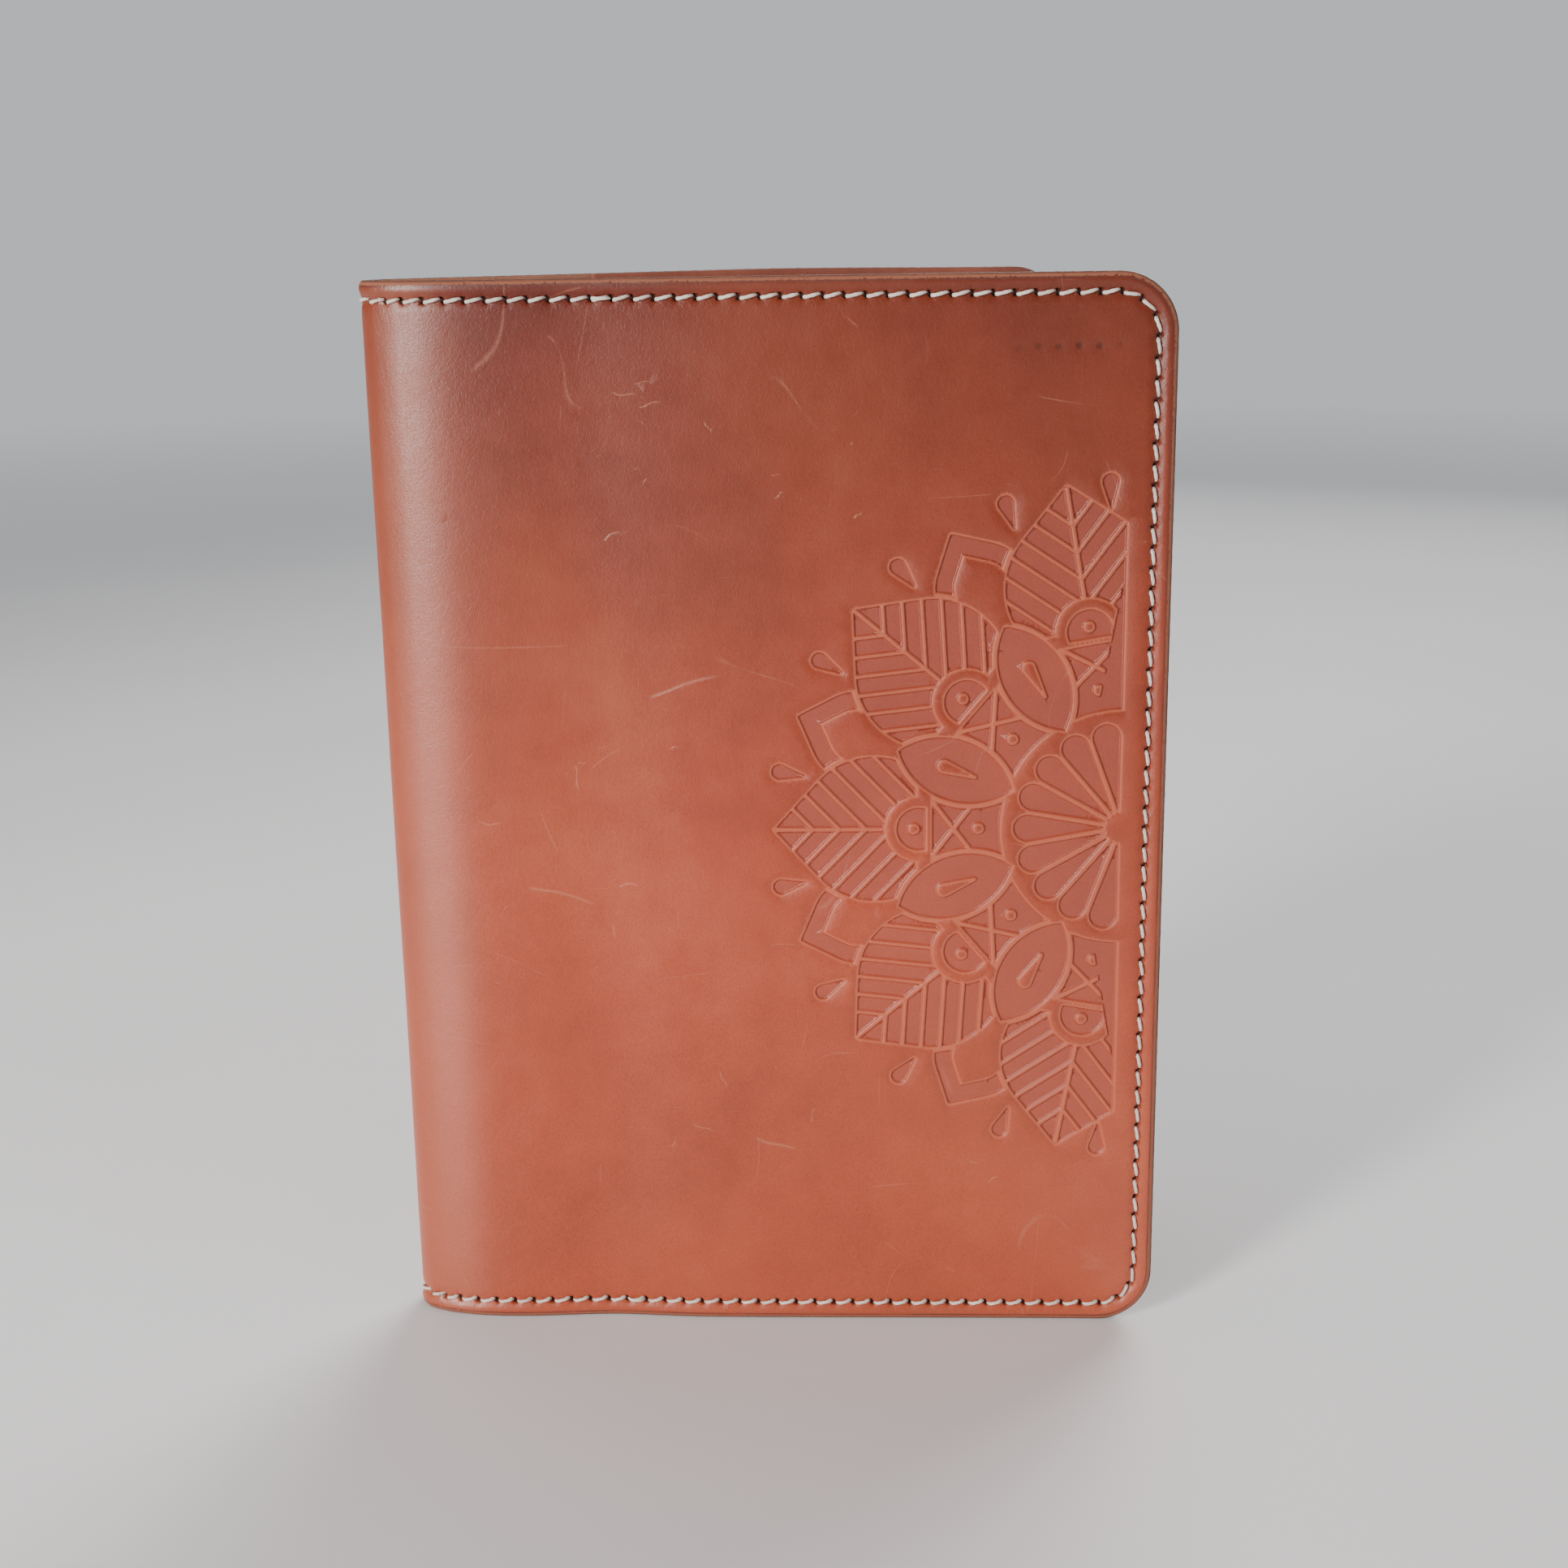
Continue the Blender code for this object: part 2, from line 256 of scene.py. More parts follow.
def lens(a, b, a1, a2, half_width):
    half = (a2 - a1) / 2
    radius = (half * half + half_width * half_width) / (2 * half_width)
    return np.hypot(a - (a1 + a2) / 2, np.abs(b) + radius - half_width) - radius


def within(*fields):
    return np.maximum.reduce(fields)


def rosette(x, y):
    """Distance to the pressed cells of the half rosette, negative inside a cell."""
    r = np.hypot(x, y)
    leaves, cells, seeds = [], [], []
    for angle in SEED_ANGLES:
        a, b = turned(x, y, angle)
        seed = lens(a, b, *SEED)
        seeds.append(seed)
        cells.append(within(seed, -drop(a, b, *SEED_EYE)))
    seed_all = np.minimum.reduce(seeds)
    petals = np.minimum.reduce([drop(*turned(x, y, t), *PETAL) for t in PETAL_ANGLES])
    for angle in LEAF_ANGLES:
        a, b = turned(x, y, angle)
        leaf = drop(a, b, *LEAF)
        bud = np.hypot(a - BUD_AT, b)
        vein = ((LEAF[2] - a) + np.abs(b) * 0.95) * 0.725
        nearest = np.round((vein - 1.6) / VEIN_PITCH)
        side_veins = np.where(nearest < 1, -9.0, 0.34 - np.abs(vein - 1.6 - VEIN_PITCH * nearest))
        cells.append(within(leaf, 0.4 - np.abs(b), side_veins, 7.0 - bud,
                            RIDGE - seed_all, 41.6 - a))
        cells.append(within(bud - BUD_RADIUS, BUD_FLAT - a, 1.15 - np.hypot(a - 42.0, b)))
        cross = np.abs(np.abs(a - 33.9) * 0.80 - np.abs(b) * 0.60)
        cells.append(within(24.6 - r, a - 38.3, 1.2 - petals, RIDGE - seed_all, 0.42 - cross,
                            1.15 - np.hypot(a - 28.9, b), np.abs(b) - 9.5))
        leaves.append(leaf)
    leaf_all = np.minimum.reduce(leaves)
    for angle in SEED_ANGLES:
        a, b = turned(x, y, angle)
        sepal = drop(a, b, *SEPAL)
        cells.append(within(sepal, -3.6 - sepal, 1.2 - leaf_all, 58.0 - a))
    drops = np.minimum.reduce([drop(*turned(x, y, t), *DROP) for t in DROP_ANGLES])
    return np.maximum(np.minimum.reduce(cells + [petals, drops]), 0.3 - x)


def rosette_at(s, z):
    return rosette(ROSETTE_U - cover_u(s, True), z - ROSETTE_Z)


# ---------------- the seam round the edge

def corner_arcs(inset, count):
    """The four round corners of the outline moved in, counter-clockwise from the top front."""
    s0, s1 = S_FRONT + inset, S_BACK - inset
    z0, z1 = inset, HEIGHT - inset
    r = max(CORNER - inset, 0.3)
    parts = []
    for cs, cz, first in ((s0 + r, z1 - r, 90), (s0 + r, z0 + r, 180),
                          (s1 - r, z0 + r, 270), (s1 - r, z1 - r, 360)):
        parts.append(arc(cs, cz, r, first, first + 90, count))
    return np.concatenate(parts)


def distance_along(path):
    return np.concatenate([[0], np.cumsum(np.linalg.norm(np.diff(path, axis=0), axis=1))])


def point_at(distance, along, path):
    """Points of a path at distances along it."""
    return np.stack([np.interp(distance, along, path[:, i]) for i in range(path.shape[1])], -1)


def spaced(path, spacing):
    along = distance_along(path)
    return point_at(np.arange(0, along[-1], spacing), along, path)


# Corner-rounded loop inside the edge, and the distance along it.
SEAM_START = [[0.0, HEIGHT - SEAM_IN]]
LOOP = np.concatenate([SEAM_START, corner_arcs(SEAM_IN, 25), SEAM_START])
ALONG = distance_along(LOOP)
HOLE_COUNT = int(round(ALONG[-1] / STITCH_PITCH))


def on_seam(distance):
    """Point, direction along and direction inward of the seam at a distance round it."""
    here, ahead, behind = (point_at(np.mod(distance + step, ALONG[-1]), ALONG, LOOP)
                           for step in (0, 0.3, -0.3))
    along = unit(ahead - behind)
    return here, along, np.stack([-along[..., 1], along[..., 0]], -1)


HOLES, HOLE_ALONG, HOLE_IN = on_seam((np.arange(HOLE_COUNT) + 0.5) * ALONG[-1] / HOLE_COUNT)
SLOT_HALF = 0.40
SLOT_RADIUS = 0.40
SLOT_LEAN = np.radians(54 - 34 * np.abs(HOLE_ALONG[:, 1:]))
SLOT_AXIS = HOLE_ALONG * np.cos(SLOT_LEAN) + HOLE_IN * np.sin(SLOT_LEAN)


def hole_distance(s, z):
    """Distance to the nearest stitching slot's edge, up to 3 mm away."""
    found = np.full(np.shape(s), 3.0)
    ids = np.nonzero(np.abs(edge_distance(s, z) - SEAM_IN) < 2.5)[0]
    points, best = columns(s[ids], z[ids]), found[ids]
    for hole, axis in zip(HOLES, SLOT_AXIS):
        pick = np.nonzero((np.abs(points - hole) < 3).all(1))[0]
        away = points[pick] - hole
        along = np.clip(away @ axis, -SLOT_HALF, SLOT_HALF)
        away = np.linalg.norm(away - along[:, None] * axis, axis=1)
        best[pick] = np.minimum(best[pick], away - SLOT_RADIUS)
    found[ids] = best
    return found


# ---------------- small marks of use

# Start u, z, then end u, z, on the front cover.
LONG_MARKS = [(22, 98, 37, 94), (48, 138, 64, 142.5), (68, 42.5, 78, 39)]


def front_scratches():
    marks = [(cover_s(a), b, cover_s(c), d, 0.17) for a, b, c, d in LONG_MARKS]
    for _ in range(40):
        u, z = RNG.uniform(8, 138), RNG.uniform(10, 208)
        angle, length = RNG.uniform(-1.5, 1.5), RNG.uniform(0.8, 7) * RNG.uniform(0.4, 1)
        du, dz = math.cos(angle) * length, math.sin(angle) * length
        if math.hypot(ROSETTE_U - u, z - ROSETTE_Z) > 74:
            marks.append((cover_s(u), z, cover_s(u + du), z + dz, RNG.uniform(0.05, 0.12)))
    return marks


SCRATCHES = front_scratches()
PRICKS = [(cover_s(u), 206.0 + lift, depth) for u, lift, depth in
          zip(np.linspace(122, 141.3, 6), (-0.2, 0.1, 0.0, 0.2, 0.1, 0.3),
              (0.35, 0.6, 0.8, 1.0, 0.9, 0.4))]


def scratch_field(s, z):
    """0 to 1 along the scratches."""
    found = np.zeros(np.shape(s))
    for x0, z0, x1, z1, width in SCRATCHES:
        dx, dz = x1 - x0, z1 - z0
        size = math.hypot(dx, dz)
        t = np.clip(((s - x0) * dx + (z - z0) * dz) / size ** 2, 0, 1)
        bend = 0.35 * np.sin(t * math.pi * 1.7 + x0)
        d = np.hypot(s - x0 - t * dx + bend * dz / size, z - z0 - t * dz - bend * dx / size)
        found = np.maximum(found, bump(d, width * 1.3) * smooth(0, 0.12, t) * smooth(1, 0.7, t))
    return found


def prick_field(s, z):
    found = np.zeros(np.shape(s))
    for ps, pz, depth in PRICKS:
        found = np.maximum(found, depth * (1 - smooth(0.25, 1.1, np.hypot(s - ps, z - pz))))
    return found


def undulation(s, z):
    """Slow unevenness of a thick hide, in mm."""
    a = np.sin(s * 0.083 + 1.1) * np.sin(z * 0.071 + 0.4)
    b = np.sin(s * 0.21 + z * 0.13 + 2.0) * np.sin(z * 0.19 - s * 0.08)
    c = np.sin(s * 0.52 + 0.7) * np.sin(z * 0.47 + 1.9)
    return 0.05 * a + 0.02 * b + 0.006 * c


def edge_drop(e):
    """How far the face falls near the cut edge."""
    return 0.45 * (1 - smooth(-0.25, 0.80, e)) + 0.04 * bump(e - 1.05, 0.22)


SLOT_DEPTH = 1.05
PRESS_DEPTH = 0.44
SHOULDER_DEPTH = 0.24
EDGE_SWELL = 0.32
SEAM_SINK = 0.36
SCRATCH_DEPTH = 0.07
PRICK_DEPTH = 0.06


def pit_share(hole):
    """1 inside a stitching slot, falling to 0 just outside it."""
    return 1 - smooth(-0.16, 0.10, hole)


def outer_surface(s, z):
    """Height of the hide's outer face above its middle and the shading fields there."""
    e = edge_distance(s, z)
    rose = rosette_at(s, z)
    hole = hole_distance(s, z)
    pit = pit_share(hole)
    pressed = 1 - smooth(-0.38, 0.12, rose)
    shoulder = 1 - smooth(-0.1, 1.5, rose)
    scratch = scratch_field(s, z)
    prick = prick_field(s, z)
    n = HALF_HIDE + undulation(s, z) * smooth(0.5, 6, e)
    n = n - edge_drop(e)
    n = n + EDGE_SWELL * bump(e - 1.55, 1.3) - SEAM_SINK * bump(e - SEAM_IN - 0.1, 1.0)
    n = n - 0.12 * (1 - smooth(0.0, 1.0, hole)) - SLOT_DEPTH * pit
    n = n - PRESS_DEPTH * pressed - SHOULDER_DEPTH * shoulder
    n = n - SCRATCH_DEPTH * scratch - PRICK_DEPTH * prick
    marks = {
        "pressed": pressed,
        # Lighter along the cells' raised rims: partly the stretched leather's own tone, partly painted
        # highlight.
        "rim": bump(rose - 0.22, 0.22),
        "pit": pit,
        "stain": prick,
        "edge": 1 - smooth(0.60, 0.90, e),
        "line": np.maximum(bump(e - 1.0, 0.17), 0.9 * (1 - smooth(0.05, 0.34, e))),
        "scratch": scratch,
        "bend": smooth(24, 6, np.abs(s)),
        # Painted highlight along the fold.
        "pull": bump(np.abs(s) - 11.2, 5.4) * (0.45 + 0.55 * smooth(0, 80, z)),
    }
    return n, marks


# ---------------- points to build the faces on

CELL = 0.05


def disc(radius):
    """Mask of the cells within a radius of a middle cell, and its reach in cells."""
    k = int(math.ceil(radius / CELL))
    g = np.arange(-k, k + 1)
    return (g[:, None] ** 2 + g ** 2) * CELL ** 2 <= radius ** 2, k


def sieve(first, rows, s0, s1, z0, z1):
    """Points of the rows that keep their distance from the first ones and from each other.

    A row is its points, their spacing, and their distance from all earlier rows if it differs."""
    low = np.array([s0 - 3, z0 - 3])
    shape = (int((s1 - s0 + 6) / CELL) + 2, int((z1 - z0 + 6) / CELL) + 2)
    kept = [first]
    for points, spacing, *others in rows:
        mask, k = disc(spacing)
        wide, reach = disc(others[0] if others else spacing)
        blocked = np.zeros(shape, bool)
        old = ((np.concatenate(kept) - low) / CELL).astype(int)
        for dx, dy in np.argwhere(wide) - reach:
            blocked[np.clip(old[:, 0] + dx, 0, shape[0] - 1),
                    np.clip(old[:, 1] + dy, 0, shape[1] - 1)] = True
        cells = ((points - low) / CELL).astype(int)
        inside = ((cells > k) & (cells < np.array(shape) - k - 1)).all(1)
        points, chosen = points[inside], []
        for i, (x, y) in enumerate(cells[inside].tolist()):
            if not blocked[x, y]:
                chosen.append(i)
                blocked[x - k:x + k + 1, y - k:y + k + 1] |= mask
        kept.append(points[chosen])
    return np.concatenate(kept[1:])


def level_points(field, s0, s1, z0, z1, step, levels):
    """Points where a field on the sheet crosses each of the levels."""
    s = np.arange(s0, s1, step)
    z = np.arange(z0, z1, step)
    gs, gz = np.meshgrid(s, z, indexing="ij")
    f = field(gs.ravel(), gz.ravel()).reshape(gs.shape)
    found = []
    for level in levels:
        g = f - level
        for ds, dz in ((1, 0), (0, 1)):
            a, b = g[:len(s) - ds, :len(z) - dz], g[ds:, dz:]
            i, j = np.nonzero((a < 0) != (b < 0))
            way = a[i, j] / (a[i, j] - b[i, j]) * step
            found.append(columns(s[i] + way * ds, z[j] + way * dz))
    return found


def outline_points(left, right, spacing):
    """Closed loop round the part of the hide between two s values, counter-clockwise."""
    pts = []
    r0 = CORNER if left < S_FRONT + 0.01 else 0.0
    r1 = CORNER if right > S_BACK - 0.01 else 0.0

    def run(a, b):
        count = max(int(round(math.dist(a, b) / spacing)), 1)
        t = np.arange(count) / count
        pts.append(columns(a[0] + (b[0] - a[0]) * t, a[1] + (b[1] - a[1]) * t))

    def corner(cs, cz, r, first):
        count = int(math.ceil(r * math.pi / 2 / spacing))
        if count:
            pts.append(arc(cs, cz, r, first, first + 90 * (count - 1) / count, count))

    run((left + r0, 0.0), (right - r1, 0.0))
    corner(right - r1, r1, r1, 270)
    run((right, r1), (right, HEIGHT - r1))
    corner(right - r1, HEIGHT - r1, r1, 0)
    run((right - r1, HEIGHT), (left + r0, HEIGHT))
    corner(left + r0, HEIGHT - r0, r0, 90)
    run((left, HEIGHT - r0), (left, r0))
    corner(left + r0, r0, r0, 180)
    return np.concatenate(pts)


def rows_inside(distances, spacing, left, right):
    """Rows of points parallel to the hide's edge at the given distances in from it."""
    found = []
    for d in distances:
        loop = corner_arcs(d, 30)
        pts = spaced(np.concatenate([loop, loop[:1]]), spacing)
        found.append(pts[(pts[:, 0] > left + 0.05) & (pts[:, 0] < right - 0.05)])
    return np.concatenate(found)


def slot_rings(left, right):
    """Points on and round each stitching slot."""
    found = []
    for i in range(HOLE_COUNT):
        c, axis = HOLES[i], SLOT_AXIS[i]
        if c[0] < left - 2 or c[0] > right + 2:
            continue
        side = np.array([-axis[1], axis[0]])
        for grow, count in ((-0.17, 6), (-0.03, 10), (0.09, 12), (0.34, 14), (0.8, 14)):
            r = SLOT_RADIUS + grow
            a = np.arange(count) * 2 * math.pi / count + 0.26
            along = np.cos(a) * r + np.sign(np.cos(a)) * SLOT_HALF
            found.append(c + along[:, None] * axis + (np.sin(a) * r)[:, None] * side)
        found.append(c[None] + np.array([[0.0], [0.3], [-0.3]]) * axis)
    pts = np.concatenate(found)
    return pts[(pts[:, 0] > left + 0.08) & (pts[:, 0] < right - 0.08)]


def grid_points(left, right, z0, z1, step):
    rows = np.arange(z0 + step / 2, z1, step * 0.866)
    return np.concatenate([row(np.arange(left + (1 + i % 2) * step / 2, right, step), z)
                           for i, z in enumerate(rows)])


def triangulate(loop, inside):
    """Triangles over a closed loop and the points inside it; the loop keeps its numbers."""
    count = len(loop)
    everything = np.concatenate([loop, inside])
    edges = [(i, (i + 1) % count) for i in range(count)]
    coords, _, faces, origin, _, _ = delaunay_2d_cdt(
        [Vector(p) for p in everything], edges, [], 1, 1e-5)
    number = {}
    for new, old in enumerate(origin):
        for o in old:
            number[o] = new
    points = np.array([tuple(c) for c in coords])
    faces = np.array([tuple(f) for f in faces if len(f) == 3], int)
    a, b, c = (points[faces[:, i]] for i in range(3))
    area = (b[:, 0] - a[:, 0]) * (c[:, 1] - a[:, 1]) - (b[:, 1] - a[:, 1]) * (c[:, 0] - a[:, 0])
    faces[area < 0] = faces[area < 0][:, ::-1]
    return points, faces, [number[i] for i in range(count)]


# ---------------- meshes

def make_mesh(name, world, faces, materials, kinds, attributes):
    mesh = bpy.data.meshes.new(name)
    a, b, c = (world[faces[:, i]] for i in range(3))
    if np.einsum("ij,ij->i", a, np.cross(b, c)).sum() < 0:
        faces = faces[:, ::-1]
    mesh.from_pydata(world.tolist(), [], faces.tolist())
    for m in materials:
        mesh.materials.append(m)
    mesh.polygons.foreach_set("material_index", np.asarray(kinds, np.int32))
    mesh.validate()
    mesh.shade_smooth()
    for key, value in attributes.items():
        value = np.asarray(value, np.float32)
        kind = "FLOAT_VECTOR" if value.ndim == 2 else "FLOAT"
        slot = mesh.attributes.new(key, kind, "POINT")
        slot.data.foreach_set("vector" if value.ndim == 2 else "value", value.ravel())
    obj = bpy.data.objects.new(name, mesh)
    bpy.context.scene.collection.objects.link(obj)
    return obj


def filled(loop, box, rows, keep):
    """Triangles inside a loop, with points along the rows given where keep(s, z) is true."""
    inside = sieve(loop, rows, *box)
    return triangulate(loop, inside[keep(*inside.T)])


def closed_sheet(name, loop, sheets, rings, on_edge, z_limits, materials, sharp):
    """Joins two sheets over one loop by rings of points round the edge.

    A sheet is its points, triangles, numbers of the loop's points, levels and marks.
    A ring is its share of the way to the second sheet, and how far it stands out."""
    points, faces, ids, levels, marks = (list(v) for v in zip(*sheets))
    count = len(points[0])
    base = count + len(points[1])
    out = outward_normals(loop)
    chain = [np.array(ids[0])]
    for i, (share, bulge) in enumerate(rings):
        z = np.clip(loop[:, 1] + out[:, 1] * bulge, *z_limits)
        points.append(columns(loop[:, 0] + out[:, 0] * bulge, z))
        levels.append(levels[0][ids[0]] * (1 - share) + levels[1][ids[1]] * share)
        marks.append({"edge": on_edge})
        chain.append(base + i * len(loop) + np.arange(len(loop)))
    chain.append(np.array(ids[1]) + count)
    walls = []
    for a, b in zip(chain[:-1], chain[1:]):
        a2, b2 = np.roll(a, -1), np.roll(b, -1)
        walls += [columns(b, b2, a2), columns(b, a2, a)]
    parts = [faces[0], faces[1][:, ::-1] + count, np.concatenate(walls)]
    kinds = np.repeat((0, 1, 2), [len(part) for part in parts])
    s, z = np.concatenate(points).T
    n = np.concatenate(levels)
    fields = {key: np.concatenate([m.get(key, np.zeros(len(p))) for m, p in zip(marks, points)])
              for key in {**marks[0], **marks[1]}}
    fields["sheet"] = columns(s, n, z)
    obj = make_mesh(name, to_world(s, n, z), np.concatenate(parts), materials,
                    np.minimum(kinds, len(materials) - 1), fields)
    obj.data.set_sharp_from_angle(angle=math.radians(sharp))
    return obj


def hide_piece(name, left, right, extra, inner_grid, outer_grid, exact=False):
    """One closed length of the hide: carved outer face, flesh side, cut edge wall."""
    loop = outline_points(left, right, 0.6)
    box = (left, right, 0, HEIGHT)
    slots = [(slot_rings(left, right), 0.09)]
    top, top_faces, top_ids = filled(loop, box, slots + extra + [
        (rows_inside((0.14, 0.36), 0.45, left, right), 0.16),
        (rows_inside((0.68, 1.0, 1.3, 1.6), 0.6, left, right), 0.2),
        (rows_inside((2.2, 2.8, 3.3, 4.0, 4.7, 5.2, 6.0), 0.9, left, right), 0.45),
        (grid_points(*box, outer_grid), outer_grid * 0.7)], lambda s, z: edge_distance(s, z) > 0.1)
    low, low_faces, low_ids = filled(loop, box, slots + [
        (rows_inside((0.25, 0.6, 1.0), 0.7, left, right), 0.22),
        (rows_inside((2.6, 3.4, 4.6, 5.4), 1.2, left, right), 0.6),
        (grid_points(*box, inner_grid), inner_grid * 0.7)], lambda s, z: edge_distance(s, z) > 0.12)

    n_top, marks = outer_surface(*top.T)
    e = edge_distance(*low.T)
    pit = pit_share(hole_distance(*low.T))
    n_low = -HALF_HIDE + edge_drop(e) + 0.9 * pit + 0.10 * bump(e - SEAM_IN, 0.8)
    low_marks = {"pit": pit, "edge": 1 - smooth(0.60, 0.90, e), "line": bump(e - 1.0, 0.17)}
    on_edge = edge_distance(*loop.T) < 0.02
    rings = []
    for i, (share, size) in enumerate(((0.22, 0.7), (0.5, 1.0), (0.78, 0.7))):
        bulge = 0.05 + 0.05 * np.sin(loop[:, 0] * 2.1 + loop[:, 1] * 1.7 + i * 2.2)
        rings.append((share, bulge * size * on_edge))
    obj = closed_sheet(name, loop, [(top, top_faces, top_ids, n_top, marks),
                                    (low, low_faces, low_ids, n_low, low_marks)],
                       rings, on_edge, (0.0, HEIGHT + 1), [HIDE_SKIN, HIDE_FLESH, HIDE_EDGE], 50)
    if exact:
        shade_exactly(obj, top, n_top, set(top_ids))
    return obj


def shade_exactly(obj, points, n, rim):
    """Gives the inner points of a carved face the true normals of its surface."""
    s, z, step = points[:, 0], points[:, 1], 0.02
    here = to_world(s, n, z)
    along = to_world(s + step, outer_surface(s + step, z)[0], z) - here
    up = to_world(s, outer_surface(s, z + step)[0], z + step) - here
    normal = unit(np.cross(up, along))
    normal[list(rim)] = 0
    mesh = obj.data
    used = np.zeros(len(mesh.loops), int)
    mesh.loops.foreach_get("vertex_index", used)
    everywhere = np.zeros((len(mesh.vertices), 3))
    everywhere[:len(points)] = normal
    mesh.normals_split_custom_set(everywhere[used].tolist())


def outward_normals(loop):
    step = unit(np.roll(loop, -1, 0) - np.roll(loop, 1, 0))
    return columns(step[:, 1], -step[:, 0])


# ---------------- thread

def tube(path, radius):
    """Closed tube through the points of a path; returns its vertices and triangles."""
    sides = 8
    tangent = unit(np.gradient(path, axis=0))
    side = unit(np.cross(tangent, (0.0, 1.0, 0.0)))
    lift = np.cross(side, tangent)
    count = len(path)
    i = np.arange(count)[:, None]
    a = np.arange(sides) * 2 * math.pi / sides
    r = radius * (1 + 0.10 * np.cos(2 * a + i * 0.9)) * (1 + THREAD_TAPER * (0.5 - i / count))
    rings = (path[:, None] + (np.cos(a) * r)[..., None] * side[:, None]
             + (np.sin(a) * r)[..., None] * lift[:, None])
    verts = np.concatenate([rings.reshape(-1, 3), path[:1], path[-1:]])
    a = np.arange(sides)
    b = (a + 1) % sides
    tris = []
    for k in range(count - 1):
        a1, b1 = a + k * sides, b + k * sides
        tris += [columns(a1, b1, b1 + sides), columns(a1, b1 + sides, a1 + sides)]
    last = (count - 1) * sides
    tris.append(columns(b, a, np.full(sides, last + sides)))
    tris.append(columns(np.full(sides, last + sides + 1), a + last, b + last))
    return verts, np.concatenate(tris)


def stitch_path(start, end, low, high, sign, arch, dive):
    """A stitch from one hole to the next on one face of the hide, level low to level high."""
    t = np.linspace(0, 1, 13)
    rise = 1 - np.abs(2 * t - 1) ** 3.4
    p = start[None] * (1 - t[:, None]) + end[None] * t[:, None]
    n = low * (1 - t) + high * t + sign * (-dive + (dive + arch) * rise)
    return columns(p[:, 0], n, p[:, 1])


def seam_stitches(sign, level_at):
    """Every stitch of the edge seam on one face, as tube centre lines."""
    pitch = ALONG[-1] / HOLE_COUNT
    holes = list(zip(HOLES, HOLE_ALONG, HOLE_IN))
    found = []
    for (a, ta, ia), (b, tb, ib) in zip(holes, holes[1:] + holes[:1]):
        jitter = RNG.uniform(-0.06, 0.06, 4)
        # Stitches of the upright sides lean less and are a little shorter.
        start = a + ia * (0.36 - 0.14 * abs(ta[1]) + jitter[0]) * sign
        start = start + ta * (0.50 + 0.10 * abs(ta[1]) + jitter[1])
        end = b - ib * (0.36 - 0.14 * abs(tb[1]) + jitter[2]) * sign
        end = end - tb * (0.66 + 0.12 * abs(tb[1]) + jitter[3])
        found.append(stitch_path(start, end, level_at(a), level_at(b), sign,
                                 0.26 + RNG.uniform(-0.05, 0.05), 0.70))
        middle = (a[0] + b[0]) / 2
        nearest = min(abs(cover_u(middle, front) - OVERSEWN_U) for front in (True, False))
        if sign > 0 and nearest < pitch / 2:
            found.append(stitch_path(a + ta * 0.45, b - tb * 0.30, level_at(a), level_at(b),
                                     sign, 0.62, 0.45))
    return found


def split_path(path, left, right):
    """The part of a tube's centre line whose s lies between left and right."""
    if path[:, 0].min() >= left and path[:, 0].max() <= right:
        return path
    t = np.linspace(0, len(path) - 1, (len(path) - 1) * 4 + 1)
    fine = point_at(t, np.arange(len(path)), path)
    ids = np.nonzero((fine[:, 0] >= left) & (fine[:, 0] <= right))[0]
    if len(ids) < 3:
        return None
    part = fine[ids[0]:ids[-1] + 1].copy()
    for end, limit_id in ((0, ids[0] - 1), (-1, ids[-1] + 1)):
        if 0 <= limit_id < len(fine):
            a, b = part[end], fine[limit_id]
            limit = left if b[0] < left else right
            k = (limit - a[0]) / (b[0] - a[0])
            part[end] = a + (b - a) * k
    keep = np.unique(np.round(np.linspace(0, len(part) - 1, min(len(part), 13))).astype(int))
    return part[keep]


def thread_mesh(name, paths, radius):
    verts, faces, count = [], [], 0
    for path in paths:
        v, f = tube(path, radius)
        verts.append(v)
        faces.append(f + count)
        count += len(v)
    sheet, faces = np.concatenate(verts), np.concatenate(faces)
    obj = make_mesh(name, to_world(*sheet.T), faces, [THREAD_PAINT], np.zeros(len(faces)),
                    {"sheet": sheet})
    return obj


# ---------------- materials

TAN_DARK = (0.290, 0.040, 0.016)
TAN_MID = (0.445, 0.066, 0.026)
TAN_LIGHT = (0.560, 0.111, 0.049)


